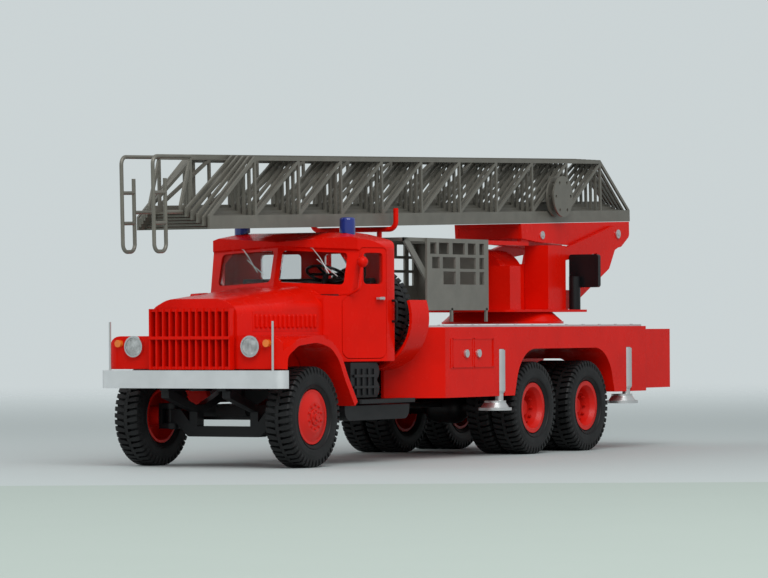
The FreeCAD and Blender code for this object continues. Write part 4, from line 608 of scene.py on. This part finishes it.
def add_seat_ribs():
    low, high = corners("operator_seat")
    mesh = bmesh.new()
    front = high.y - 0.05 * MM
    back_low = SEAT_LOW * MM
    for share in (0.2, 0.4, 0.6, 0.8):
        x = low.x + (high.x - low.x) * share
        add_rod(mesh, (x, front, back_low + 1.2 * MM), (x, front, high.z - 1.2 * MM), 0.35 * MM, 10)
    piece("seat_ribs", mesh, "black_trim", "turret")


add_deck_screws()
add_seat_ribs()


# Forms: meshes in millimetres, where the render needs more shape than the solids have


FRONT_AXLE = FRONT_AXLE_Y / MM
CIRCLE_SIDES = 40
PIPE_SIDES = 12
PLANES = {
    "XY": lambda a, b, n: (a, b, n),
    "XZ": lambda a, b, n: (a, n, b),
    "YZ": lambda a, b, n: (n, a, b),
}
AXES = {"X": Vector((1, 0, 0)), "Y": Vector((0, 1, 0)), "Z": Vector((0, 0, 1))}


def st(distance):
    """A place's Y in millimetres, from its distance behind the front axle."""
    return FRONT_AXLE + distance


def rounded(points):
    """An outline's points, with an arc where a third number gives a corner radius."""
    result = []
    for index, point in enumerate(points):
        here = Vector(point[:2])
        if len(point) < 3 or not point[2]:
            result.append(here)
            continue
        before = (Vector(points[index - 1][:2]) - here).normalized()
        after = (Vector(points[(index + 1) % len(points)][:2]) - here).normalized()
        half_turn = before.angle(after) / 2
        sweep = math.pi - 2 * half_turn
        centre = here + (before + after).normalized() * (point[2] / math.sin(half_turn))
        first = here + before * (point[2] / math.tan(half_turn)) - centre
        last = here + after * (point[2] / math.tan(half_turn)) - centre
        sign = 1 if first.x * last.y - first.y * last.x > 0 else -1
        steps = max(2, int(math.degrees(sweep) / 10) + 1)
        for step in range(steps + 1):
            turn = sign * sweep * step / steps
            result.append(centre + Vector((first.x * math.cos(turn) - first.y * math.sin(turn),
                                           first.x * math.sin(turn) + first.y * math.cos(turn))))
    return result


def circle(centre, radius):
    steps = [2 * math.pi * index / CIRCLE_SIDES for index in range(CIRCLE_SIDES)]
    return [Vector((centre[0] + radius * math.cos(t), centre[1] + radius * math.sin(t))) for t in steps]


def from_bmesh(mesh):
    """The stored mesh of a form, with its faces looking outward."""
    mesh.normal_update()
    bmesh.ops.recalc_face_normals(mesh, faces=mesh.faces)
    return stored(mesh, "form")


def prism(plane, start, length, outline, *holes):
    """An outline pushed along its plane's normal, with holes through it."""
    place = PLANES[plane]
    loops = [rounded(loop) for loop in (outline, *holes)]
    triangles = tessellate_polygon([[Vector((p.x, p.y, 0)) for p in loop] for loop in loops])
    mesh = bmesh.new()
    layers = []
    for along in (start, start + length):
        layers.append([mesh.verts.new(place(p.x, p.y, along)) for loop in loops for p in loop])
    for triangle in triangles:
        for layer in layers:
            mesh.faces.new([layer[index] for index in triangle])
    base = 0
    for loop in loops:
        bridge(mesh, *(layer[base:base + len(loop)] for layer in layers))
        base += len(loop)
    return from_bmesh(mesh)


def block(low, high):
    mesh = bmesh.new()
    add_box(mesh, low, high)
    return from_bmesh(mesh)


def bar(start, axis, length, radius, end_radius=None, sides=32):
    mesh = bmesh.new()
    start = Vector(start)
    add_rod(mesh, start, start + AXES[axis] * length, radius, sides, end_radius)
    return from_bmesh(mesh)


def pipe(points, radius, bend):
    """A round bar along straight runs with bends of one radius."""
    path = [Vector(points[0])]
    for before, here, after in zip(points, points[1:], points[2:]):
        here = Vector(here)
        back, on = (Vector(before) - here).normalized(), (Vector(after) - here).normalized()
        half_turn = back.angle(on) / 2
        sweep = math.pi - 2 * half_turn
        centre = here + (back + on).normalized() * (bend / math.sin(half_turn))
        first = here + back * (bend / math.tan(half_turn)) - centre
        normal = back.cross(on).normalized()
        for step in range(7):
            path.append(centre + Matrix.Rotation(-sweep * step / 6, 3, normal) @ first)
    path.append(Vector(points[-1]))
    mesh = bmesh.new()
    rings = []
    side = None
    for index, here in enumerate(path):
        ahead = path[min(index + 1, len(path) - 1)] - path[max(index - 1, 0)]
        ahead.normalize()
        if side is None:
            side = ahead.orthogonal().normalized()
        side = (side - ahead * side.dot(ahead)).normalized()
        other = ahead.cross(side)
        ring = []
        for step in range(PIPE_SIDES):
            turn = 2 * math.pi * step / PIPE_SIDES
            across = here + side * math.cos(turn) * radius
            ring.append(mesh.verts.new(across + other * math.sin(turn) * radius))
        rings.append(ring)
    for here, there in zip(rings, rings[1:]):
        bridge(mesh, here, there)
    mesh.faces.new(rings[0])
    mesh.faces.new(rings[-1])
    return from_bmesh(mesh)


def combine(operation, base, *tools):
    """The exact union, difference or overlap of closed meshes."""
    for tool in tools:
        left, right = linked("left", base), linked("right", tool)
        step = left.modifiers.new("step", "BOOLEAN")
        step.operation = operation
        step.solver = "EXACT"
        step.object = right
        graph = bpy.context.evaluated_depsgraph_get()
        base = bpy.data.meshes.new_from_object(left.evaluated_get(graph))
        bpy.data.objects.remove(left)
        bpy.data.objects.remove(right)
    return base


def cut(base, *tools):
    return combine("DIFFERENCE", base, *tools)


def moved(data, matrix):
    """A turned, shifted or mirrored copy with its faces looking outward."""
    mesh = bmesh.new()
    mesh.from_mesh(data)
    mesh.transform(matrix)
    return from_bmesh(mesh)


MIRROR = Matrix.Scale(-1, 4, (1, 0, 0))


def joined(*parts):
    mesh = bmesh.new()
    for part in parts:
        mesh.from_mesh(part)
    return stored(mesh, "form")


def pair(data):
    return joined(data, moved(data, MIRROR))


CREASE = math.radians(28)


def form(name, data, slot, body, replaced=()):
    """Scales a form to metres, smooths its curves and hands it to the scene."""
    data.transform(Matrix.Scale(MM, 4))
    for face in data.polygons:
        face.use_smooth = True
    data.set_sharp_from_angle(angle=CREASE)
    piece(name, data, slot, body, replaced)


# Cab

CAB_WALL = 1.1
CAB_HALF = 25.6
CAB_FRONT = st(21.0)
CAB_REAR = st(44.6)
CAB_LOW = 26.9
COWL_HIGH = 44.0
SCREEN_FOOT_MM, SCREEN_HEAD_MM = [Vector((0, st(along), high)) for along, high in SCREEN_LINE]
VISOR_REACH = 0.7
VISOR_HIGH = 58.6
ROOF_HIGH = 61.7
ROOF_REAR = 60.4
DOOR_FRONT = st(23.9)
DOOR_REAR = st(38.9)
DOOR_SEAM = 0.15
WINDOW_FRONT = st(31.0)
DOOR_PILLAR = st(27.7)
GLASS_THICK = 0.4
WINDOW_CORNER = 1.1


def cab_front_line(inset):
    """The cab's front in the side view, from the screen's foot to the top of the visor."""
    head = SCREEN_HEAD_MM
    visor = head.y - VISOR_REACH + inset * 2
    return [
        (SCREEN_FOOT_MM.y + inset, SCREEN_FOOT_MM.z - inset / 2, CAB_WALL),
        (head.y + inset, head.z - inset, CAB_WALL / 4),
        (visor, head.z + 0.3 - inset, CAB_WALL / 8),
        (visor, VISOR_HIGH - inset, 0.75 - inset / 2),
    ]


def cab_views(inset):
    """The cab's form where its side view, front view and plan meet."""
    front, rear, low = CAB_FRONT + inset, CAB_REAR - inset, CAB_LOW + inset
    side = [
        (front, low),
        (front, COWL_HIGH - inset, CAB_WALL * 2 - inset),
        *cab_front_line(inset),
        (st(34.2), ROOF_HIGH - inset, 24.0),
        (rear, ROOF_REAR - inset, CAB_WALL * 2 - inset),
        (rear, low),
    ]
    half, edge, crown = CAB_HALF - inset, 58.4 - inset, ROOF_HIGH - inset
    face = [
        (-half, low),
        (half, low),
        (half, edge, 3.4 - inset),
        (half * 0.55, crown, 13.6),
        (-half * 0.55, crown, 13.6),
        (-half, edge, 3.4 - inset),
    ]
    left = [
        (16.8 - inset / 2, front, CAB_WALL),
        (20.9 - inset, DOOR_FRONT + inset / 2, 3.0),
        (22.1 - inset, DOOR_PILLAR, 3.0),
        (half, DOOR_REAR, 3.0),
        (half, rear, CAB_WALL * 2 - inset),
    ]
    plan = left + [(-x, y, r) for x, y, r in reversed(left)]
    return (prism("YZ", -30, 60, side), prism("XZ", st(0), 60, face), prism("XY", 0, 80, plan))


def swept(data):
    """Turned about the screen's middle line, as one half of its vee."""
    line = (SCREEN_HEAD_MM - SCREEN_FOOT_MM).normalized()
    turn = Matrix.Rotation(SCREEN_ANGLE, 4, line)
    place = Matrix.Translation(SCREEN_FOOT_MM)
    return moved(data, place @ turn @ place.inverted())


def cab_half(inset, middle_x=0.0):
    """The cab's left half inside an inset, with its half of the vee screen cut."""
    side, face, plan = cab_views(inset)
    keep = block((middle_x, CAB_FRONT - 9, 0), (40, CAB_REAR + 9, 90))
    common = combine("INTERSECT", side, face, plan, keep)
    line = cab_front_line(inset)[1:]
    low = COWL_HIGH + CAB_WALL - inset
    rake = (SCREEN_HEAD_MM.y - SCREEN_FOOT_MM.y) / (SCREEN_HEAD_MM.z - SCREEN_FOOT_MM.z)
    sill = SCREEN_FOOT_MM.y + inset - (SCREEN_FOOT_MM.z - low) * rake
    vee = swept(prism("YZ", -3, 36, [
        (st(0), low),
        (sill, low),
        *line[:-1],
        (line[-1][0], 75),
        (st(0), 75),
    ]))
    return cut(common, vee)


def cab_skin(inset, thickness):
    return cut(cab_half(inset), cab_half(inset + thickness, -1.0))


def through_side(outline):
    """A block from inside the cab out through its left side."""
    return prism("YZ", 16.8, 12, outline)


def pane(left, right, low, high, slack):
    corner = WINDOW_CORNER - slack
    return [
        (left + slack, low + slack, corner),
        (right - slack, low + slack, corner),
        (right - slack, high - slack, corner),
        (left + slack, high - slack, corner),
    ]


def window_blocks(slack):
    screen = swept(prism("XZ", CAB_FRONT - 2, 9, pane(1.3, 19.8, 48.0, 56.4, slack)))
    back = prism("XZ", CAB_REAR - 2.2, 4, pane(3.6, 16.5, 48.6, 55.6, slack))
    side = through_side(pane(WINDOW_FRONT, st(37.6), 47.3, 55.5, slack))
    return [screen, back, side]


def door_outline(seam):
    front, rear = DOOR_FRONT + seam, DOOR_REAR - seam
    low, high = 27.6 + seam, 56.9 - seam
    return [
        (front, low, 2.2),
        (rear, low, 2.2),
        (rear, high, WINDOW_CORNER),
        (WINDOW_FRONT - CAB_WALL + seam, high, WINDOW_CORNER),
        (DOOR_PILLAR + CAB_WALL + seam, SCREEN_FOOT_MM.z - CAB_WALL / 2, WINDOW_CORNER),
        (front, COWL_HIGH - CAB_WALL, WINDOW_CORNER),
    ]


def make_dashboard():
    """The shelf under the screens, as wide as the cab there."""
    shelf = prism("XY", 41.0, 3.6, [
        (-17.6, st(24.6)),
        (17.6, st(24.6)),
        (20.2, st(28.2), 0.8),
        (-20.2, st(28.2), 0.8),
    ])
    form("dash", shelf, "black_trim", "chassis", ["dashboard"])


def make_cab():
    """Hollow cab with a vee screen, its doors in their seams and a skin of glass."""
    wall = cab_skin(0, CAB_WALL)
    screen, back, side = window_blocks(0)
    doorway = through_side(door_outline(0))
    form("cab", pair(cut(wall, screen, back, side, doorway)), "red_paint", "chassis", ["cab_shell"])
    door = cut(combine("INTERSECT", wall, through_side(door_outline(DOOR_SEAM))), side)
    form("doors", pair(door), "red_paint", "chassis", ["cab_doors"])
    skin = cab_skin((CAB_WALL - GLASS_THICK) / 2, GLASS_THICK)
    panes = [combine("INTERSECT", skin, window) for window in window_blocks(0.05)]
    form("glass", pair(joined(*panes)), "clear_glass", "chassis", ["cab_panes"])
    return cab_half(0)


# Bonnet, wings and mirror


def bonnet_section(half, shoulder, crown):
    return rounded([
        (-half, 25.4),
        (half, 25.4),
        (half, shoulder, 2.8),
        (half * 0.62, crown, 8.0),
        (-half * 0.62, crown, 8.0),
        (-half, shoulder, 2.8),
    ])


def make_bonnet(outside):
    """The bonnet from the grille to the screen's foot, with the radiator's recess and the scoop."""
    front = bonnet_section(BONNET_FRONT_HALF, 40.9, 43.4)
    rear = bonnet_section(BONNET_REAR_HALF, 42.6, 46.9)
    mesh = bmesh.new()
    rings = []
    for outline, y in ((front, st(BONNET_FRONT)), (rear, st(BONNET_REAR))):
        rings.append([mesh.verts.new((p.x, y, p.y)) for p in outline])
    bridge(mesh, *rings)
    mesh.faces.new(rings[0])
    mesh.faces.new(rings[1])
    loft = from_bmesh(mesh)
    recess = block((-11.6, st(-17), 26.7), (11.6, st(-10.4), 39.6))
    below = block((-CAB_HALF, CAB_FRONT - 0.05, 20.0), (CAB_HALF, CAB_REAR, CAB_LOW + 0.05))
    bonnet = cut(loft, recess, outside, moved(outside, MIRROR), below)
    scoop = prism("YZ", -9.6, 2.4, [
        (st(-3.0), 42.0),
        (st(2.6), 42.0),
        (st(2.6), 45.1, 0.4),
        (st(-2.2), 44.8, 0.4),
    ])
    form("bonnet_form", bonnet, "red_paint", "chassis", ["bonnet"])
    form("bonnet_scoop", scoop, "red_paint", "chassis")


WING_TOP = 33.9
WING_BAND = 1.8
WING_SHARES = [
    (-0.46, 0.752, 0),
    (-0.448, 0.885, 0.1),
    (-0.316, 0.973, 0.2),
    (-0.018, 1.0, 0.45),
    (0.206, 0.953, 0.28),
    (0.339, 0.847, 0.28),
    (0.434, 0.687, 0.28),
    (0.578, 0.487, 0),
]


def make_wings():
    """The arch strip of each wing, its shelf by the bonnet and the panel that holds the lamps."""
    outer = [(st(WING_TOP * along), WING_TOP * high, WING_TOP * corner)
             for along, high, corner in WING_SHARES]
    inner = []
    for index, (along, high, corner) in enumerate(outer):
        before = outer[max(index - 1, 0)]
        after = outer[min(index + 1, len(outer) - 1)]
        across = Vector((after[1] - before[1], before[0] - after[0])).normalized()
        inner.append((along + across.x * WING_BAND, high + across.y * WING_BAND, corner * 0.8))
    inside, outside_half = 13.0, 27.9
    strip = prism("YZ", inside, outside_half - inside, outer + inner[::-1])
    front = st(-15.9)
    panel = prism("XZ", front, 1.2, [
        (inside, 25.4),
        (outside_half, 25.4),
        (outside_half, WING_TOP * 0.86),
        (25.2, WING_TOP, 5.0),
        (inside, WING_TOP),
    ])
    shelf = block((inside, front + 1.0, WING_TOP - 1.3), (18.1, CAB_FRONT - 0.1, WING_TOP))
    plan = prism("XY", 0, 40, [
        (inside, front - 0.05),
        (outside_half, front - 0.05, 5.0),
        (outside_half, CAB_FRONT),
        (16.9, CAB_FRONT),
        (inside, st(BONNET_FRONT)),
    ])
    blank = combine("UNION", strip, panel, shelf)
    form("wings", pair(combine("INTERSECT", blank, plan)), "red_paint", "chassis", ["front_wings"])


def make_mirror():
    """The driver's ball mirror on its bent arm."""
    foot_high = COWL_HIGH + 0.4
    head = Vector((24.6, st(28.0), foot_high + 8.7))
    ball = bmesh.new()
    bmesh.ops.create_uvsphere(ball, u_segments=24, v_segments=16, radius=1.5)
    bmesh.ops.translate(ball, vec=head, verts=ball.verts)
    arm = pipe([
        (21.2, st(26.2), foot_high),
        (24.6, st(26.2), foot_high + 1.5),
        head,
        (head.x, head.y, head.z + 2.4),
    ], 0.4, 0.75)
    form("ball_mirror", joined(from_bmesh(ball), arm), "red_paint", "chassis", ["mirrors"])


def make_spare_guard():
    """The guard's curved plate outside the spare, from in front of it back to the body."""
    centre, inner, outer = Vector((15.4, 38.3)), 13.25, 14.0

    def arc(radius, first, last):
        points = []
        for step in range(25):
            turn = math.radians(first + (last - first) * step / 24)
            points.append((centre.x + radius * math.cos(turn), centre.y + radius * math.sin(turn)))
        return points

    strip = prism("XZ", st(45.6), 9.4, arc(outer, -105, 20) + arc(inner, 20, -105))
    form("guard", strip, "red_paint", "chassis", ["spare_guard"])


# Lockers and jacks


def make_locker_frames():
    """Frames round the lockers' two doors."""
    mesh = bmesh.new()
    for side in (1, -1):
        for first, last in ((68.3, 79.5), (80.3, 91.4)):
            for low, high, start, end in ((24.8, 25.05, first, last),
                                          (32.45, 32.7, first, last),
                                          (24.8, 32.7, first, first + 0.25),
                                          (24.8, 32.7, last - 0.25, last)):
                x = (29.0, 29.32) if side > 0 else (-29.32, -29.0)
                add_box(mesh, (x[0], st(start), low), (x[1], st(end), high))
    form("locker_frames", from_bmesh(mesh), "red_paint", "chassis")


JACK_HALF = 28.16


def make_jacks():
    """Upright jacks: a sleeve, a thinner piston and a stepped foot."""
    parts = []
    for along, foot in ((96.4, 12.7), (174.6, 13.2)):
        x, y = JACK_HALF, st(along)
        foot_x = x - 1.4
        parts += [
            bar((x, y, 18.0), "Z", 11.4, 1.7),
            bar((x, y, foot), "Z", 18.8 - foot, 1.15),
            bar((foot_x, y, foot), "Z", 0.8, 4.7),
            bar((foot_x, y, foot + 0.8), "Z", 1.3, 4.0, 3.1),
            bar((foot_x, y, foot + 2.0), "Z", 0.7, 3.1),
            bar((x, y, 29.3), "Z", 0.35, 1.35),
            bar((x, y, 17.6), "Z", 0.5, 1.45),
        ]
    form("jack_forms", pair(joined(*parts)), "silver_metal", "chassis", ["jacks"])


# Turret, carrier and cage

PIVOT = Vector((0, st(PIVOT_PLACE[0]), PIVOT_PLACE[1]))
LADDER_SLOPE = math.radians(1.6)
LADDER_FRAME = Matrix.Translation(PIVOT) @ Matrix.Rotation(LADDER_SLOPE, 4, "X")
TABLE_LOW = corners("turntable")[0].z / MM
TURRET_FLOOR = TABLE_LOW + 4.1
PIVOT_BOSS = 3.2
CARRIER_TAIL = 11.0
CARRIER_TOP = corners("ladder_carrier")[1].z / MM - PIVOT.z - CARRIER_TAIL * math.sin(LADDER_SLOPE)


def make_turret():
    """The ring and foot plate, the tower with its two cheeks and the operator's seat."""
    middle_y = st(150.7)
    lip = bar((0, middle_y, TABLE_LOW), "Z", 0.7, 17.8, sides=64)
    ring = bar((0, middle_y, TABLE_LOW + 0.7), "Z", 2.7, 17.5, 14.5, sides=64)
    plate = prism("XY", TABLE_LOW + 3.4, 0.7, [
        (-14.4, st(129.0), 3.0),
        (14.4, st(129.0), 3.0),
        (17.4, st(173.4), 3.0),
        (-14.4, st(173.4), 3.0),
    ])
    form("table", joined(lip, ring, plate), "red_paint", "turret", ["turntable"])
    floor = TURRET_FLOOR
    front_block = block((-13.0, st(131.2), floor), (13.0, st(137.7), 53.2))
    hump = prism("XZ", st(137.4), 12.6, [
        (-11.0, floor),
        (7.5, floor),
        (7.5, 58.0, 8.5),
        (-11.0, 58.0, 8.5),
    ])
    column = block((-6.2, st(137.6), floor), (6.2, st(164.0), 54.0))
    console = block((6.3, st(152.9), floor), (14.0, st(163.9), 59.4))
    boss = PIVOT_BOSS
    top = boss * 0.75
    cheek = prism("YZ", 11.2, 1.3, [
        (st(161.0), floor),
        (st(168.0), floor),
        (st(174.0), 43.3, boss),
        (st(195.0), 53.0, boss / 2),
        (PIVOT.y - boss / 2, 58.7, boss / 4),
        (PIVOT.y + boss, PIVOT.z - boss, top),
        (PIVOT.y + boss, PIVOT.z + top, top),
        (PIVOT.y - top, PIVOT.z + top, top),
        (st(166.5), 58.7),
        (st(161.0), 58.7),
    ], [
        (st(165.2), 46.5, 0.2),
        (st(174.9), 46.4, 0.2),
        (st(184.7), 50.4, 0.2),
        (st(187.3), 57.6, 0.2),
        (st(165.2), 55.0, 0.2),
    ])
    root = block((6.0, st(161.0), floor), (11.3, st(164.0), floor + boss))
    pin = bar((-12.8, PIVOT.y, PIVOT.z), "X", 25.6, 1.2)
    tower = joined(front_block, hump, column, console, pair(cheek), pair(root), pin)
    form("tower_form", tower, "red_paint", "turret", ["tower"])
    back_y = st(168.5)
    back = prism("XZ", back_y, 1.6, [
        (12.7, SEAT_LOW, 0.8),
        (22.3, SEAT_LOW, 0.8),
        (22.3, 56.9, 0.8),
        (12.7, 56.9, 0.8),
    ])
    stem = bar((15.25, back_y - 1.4, floor), "Z", 50.4 - floor, 1.7)
    form("operator_place", joined(back, stem), "black_trim", "turret", ["operator_seat"])


def make_carrier():
    """The red channel under the ladder, with the arms that reach forward to the cage."""
    top, depth, boss = CARRIER_TOP, 4.9, PIVOT_BOSS
    low, front, heel = 3.0 - depth, -58.5, PIVOT_BOSS * 1.43
    hole = circle((0, 0), 1.3)
    side = prism("YZ", 9.8, 1.2, [
        (front, top),
        (front + 0.3, low + depth / 4),
        (front + depth * 2.3, low),
        (-boss / 4, -heel, boss / 4),
        (heel * 1.2, boss / 2 - heel * 1.2, boss / 2),
        (CARRIER_TAIL, -boss / 4, boss / 2),
        (CARRIER_TAIL, top),
    ], hole)
    channel = joined(
        pair(side),
        block((-9.8, front, top - 1.2), (9.8, -boss * 2, top)),
        block((-9.8, boss * 2, top - 1.2), (9.8, CARRIER_TAIL, top)),
        block((-9.8, front + 0.3, low + depth / 4), (9.8, front + 1.2, top)),
    )
    join, end = st(143.2), st(147.7)
    arm = joined(
        block((8.8, st(120.6), 59.2), (10.4, end, 60.4)),
        block((8.85, join, 59.3), (10.35, end - 0.05, 64.0)),
    )
    carrier = joined(moved(channel, LADDER_FRAME), pair(arm))
    form("carrier", carrier, "red_paint", "ladder", ["ladder_carrier"])


CAGE_WINDOWS = [
    (0.36, 0.54, [(0.26, 0.46), (0.53, 0.79), (0.85, 0.93)]),
    (0.58, 0.74, [(0.08, 0.2), (0.25, 0.46), (0.53, 0.79), (0.85, 0.93)]),
    (0.78, 0.94, [(0.05, 0.15), (0.19, 0.35), (0.41, 0.61), (0.66, 0.79), (0.85, 0.93)]),
]


def make_cage():
    """The open cage of plate and bars under the ladder."""
    front, rear, low, high = st(85.2), st(120.6), 40.5, 60.5
    plate, thick, half, reach = 0.6, 1.0, 11.8, 11.6
    length, height = rear - front, high - low
    windows = []
    for low_share, high_share, columns in CAGE_WINDOWS:
        for left, right in columns:
            ends = (front + left * length, front + right * length)
            levels = (low + low_share * height, low + high_share * height)
            windows.append([(ends[0], levels[0]), (ends[1], levels[0]),
                            (ends[1], levels[1]), (ends[0], levels[1])])
    sheet = [(front, low), (rear, low), (rear, high), (front, high)]
    side = prism("YZ", half - plate, plate, sheet, *windows)
    strut = prism("YZ", half - plate * 2, plate, [
        (front - reach, high - thick),
        (front - reach, high),
        (front - reach + thick * 2, high),
        (front + reach, low + thick),
        (front + reach, low),
        (front + reach - thick * 2, low),
    ])
    rail = block((half - plate * 2, front - reach, high - thick), (half - plate, front + thick, high))
    legs = [block((half - plate, front + share * length - thick / 2, low - 3.2),
                  (half, front + share * length + thick / 2, low + plate)) for share in (0.4, 0.97)]
    form("cage", joined(
        pair(joined(side, strut, rail, *legs)),
        block((0.05 - half, rear - plate, low + 0.05), (half - 0.05, rear - 0.03, high - 0.05)),
        block((plate - half, front + 0.03, low + 0.03), (half - plate, rear - plate / 2, low + plate)),
        block((1.3 - half, front - reach + 0.03, high - 0.95),
              (half - 1.3, front - reach + thick, high - 0.03)),
        block((0.1 - half, rear - 6.8, high - 0.95), (half - 0.1, rear - 0.06, high - 0.1)),
    ), "cage_grey", "ladder", ["lift_cage"])


cab_outside = make_cab()
make_dashboard()
make_bonnet(cab_outside)
make_wings()
make_mirror()
make_spare_guard()
make_locker_frames()
make_jacks()
make_turret()
make_carrier()
make_cage()


# Stage, lights and camera

PHOTO_SCALE = 1 / 43
PHOTO_WIDTH = 768
FOCAL_PIXELS = 4021.6
SENSOR_WIDTH = 36.0
CLIP_NEAR = 0.01
CLIP_FAR = 20.0
CAMERA_AZIMUTH = math.radians(30.05)
CAMERA_ELEVATION = math.radians(-0.511)
CAMERA_ROLL = math.radians(-0.292)
CAMERA_DISTANCE = 47.45 * PHOTO_SCALE
CAMERA_SHIFT_RIGHT = 0.2572 * PHOTO_SCALE
CAMERA_SHIFT_UP = 0.4926 * PHOTO_SCALE
AIM = Vector((0, 3.0 * PHOTO_SCALE + FRONT_AXLE_Y, 1.5 * PHOTO_SCALE))


def add_camera():
    back = Vector((math.sin(CAMERA_AZIMUTH) * math.cos(CAMERA_ELEVATION),
                   -math.cos(CAMERA_AZIMUTH) * math.cos(CAMERA_ELEVATION), math.sin(CAMERA_ELEVATION)))
    right = Vector((math.cos(CAMERA_AZIMUTH), math.sin(CAMERA_AZIMUTH), 0))
    up = back.cross(right)
    data = bpy.data.cameras.new("camera")
    data.sensor_width = SENSOR_WIDTH
    data.lens = FOCAL_PIXELS / PHOTO_WIDTH * SENSOR_WIDTH
    data.clip_start = CLIP_NEAR
    data.clip_end = CLIP_FAR
    camera = linked("camera", data)
    place = AIM + right * CAMERA_SHIFT_RIGHT + up * CAMERA_SHIFT_UP + back * CAMERA_DISTANCE
    axes = Matrix((right, up, back)).transposed().to_4x4()
    camera.matrix_world = Matrix.Translation(place) @ axes @ Matrix.Rotation(CAMERA_ROLL, 4, "Z")
    bpy.context.scene.camera = camera


def plain(name, colour, roughness):
    material, nodes, links, shader, place = new_material(name)
    grain = noise(nodes, links, place, 40.0)
    darker = [c * 0.99 for c in colour]
    links.new(ramp(nodes, links, grain, 0.3, 0.7, darker, colour), shader.inputs["Base Color"])
    socket(shader, "Roughness", roughness)
    return material


FLOOR_REACH = 3.0
FLOOR_ROUGHNESS = 0.7
FLOOR_EDGE = 0.12
FLOOR_FADE = (-1.5, -0.3)
# The far colour is painted light: lighter than the near one, standing in for lamp light that falls off
# with distance.
FLOOR_NEAR = (0.47, 0.51, 0.505)
FLOOR_FAR_PAINTED_LIGHT = (0.86, 0.92, 0.92)


def add_sheet(name, near, far, material):
    """A flat sheet whose own Y runs from the front axle towards the viewer."""
    mesh = bmesh.new()
    side = FLOOR_REACH
    ends = [(-side, near, 0), (side, near, 0), (side, far, 0), (-side, far, 0)]
    mesh.faces.new([mesh.verts.new(p) for p in ends])
    data = stored(mesh, name)
    data.materials.append(material)
    floor = linked(name, data)
    turn = Matrix.Rotation(CAMERA_AZIMUTH + math.pi, 4, "Z")
    floor.matrix_world = Matrix.Translation(at(0, 0, 0)) @ turn


def add_floor():
    """A pale sheet that fades into the distance, with painted light that makes it lighter far off where
    the lamps reach less, and a greener one from its front edge to the viewer.
    """
    pale = plain("floor_plain", (0.5, 0.55, 0.55), FLOOR_ROUGHNESS)
    nodes, links = pale.node_tree.nodes, pale.node_tree.links
    split = nodes.new("ShaderNodeSeparateXYZ")
    links.new(nodes.new("ShaderNodeTexCoord").outputs["Object"], split.inputs[0])
    fade = nodes.new("ShaderNodeMapRange")
    fade.interpolation_type = "SMOOTHSTEP"
    socket(fade, "From Min", FLOOR_FADE[0])
    socket(fade, "From Max", FLOOR_FADE[1])
    links.new(split.outputs["Y"], fade.inputs["Value"])
    links.new(fade.outputs["Result"], nodes["Principled BSDF"].inputs["Alpha"])
    # Painted light: the sheet's colour brightens from near to far, where the lamps light it less.
    painted_light_tone = ramp(nodes, links, fade.outputs["Result"], 0.0, 1.0, FLOOR_FAR_PAINTED_LIGHT, FLOOR_NEAR)
    links.new(painted_light_tone, nodes["Principled BSDF"].inputs["Base Color"])
    add_sheet("floor", FLOOR_EDGE, -FLOOR_REACH, pale)
    near = plain("near_floor_plain", (0.4, 0.46, 0.42), FLOOR_ROUGHNESS)
    add_sheet("near_floor", FLOOR_REACH, FLOOR_EDGE, near)


LIGHT_AIM = Vector((0, 0, 0.04))
WORLD_LIGHT = 0.78
SKY_SEEN = (0.6, 0.655, 0.665, 1)
SKY_LIGHT = (0.6, 0.645, 0.66, 1)


def add_light(name, place, side, power):
    data = bpy.data.lights.new(name, "AREA")
    data.shape = "RECTANGLE"
    data.size = data.size_y = side
    data.energy = power
    place = Vector(place)
    aim = (place - LIGHT_AIM).to_track_quat("Z", "Y").to_matrix().to_4x4()
    linked(name, data).matrix_world = Matrix.Translation(place) @ aim


def add_world():
    """A backdrop for the camera, and a dimmer sky that lights the part."""
    world = bpy.data.worlds.new("studio")
    world.use_nodes = True
    nodes, links = world.node_tree.nodes, world.node_tree.links
    seen = nodes["Background"]
    socket(seen, "Color", SKY_SEEN)
    lighting = nodes.new("ShaderNodeBackground")
    socket(lighting, "Color", SKY_LIGHT)
    socket(lighting, "Strength", WORLD_LIGHT)
    mix = nodes.new("ShaderNodeMixShader")
    links.new(nodes.new("ShaderNodeLightPath").outputs["Is Camera Ray"], mix.inputs[0])
    links.new(lighting.outputs[0], mix.inputs[1])
    links.new(seen.outputs[0], mix.inputs[2])
    links.new(mix.outputs[0], nodes["World Output"].inputs["Surface"])
    bpy.context.scene.world = world
    bpy.context.scene.view_settings.view_transform = "Standard"


add_camera()
add_floor()
add_world()
add_light("key", (0.5, -0.5, 0.7), 0.7, 6.4)
add_light("fill", (-0.7, -0.3, 0.5), 0.8, 2.0)
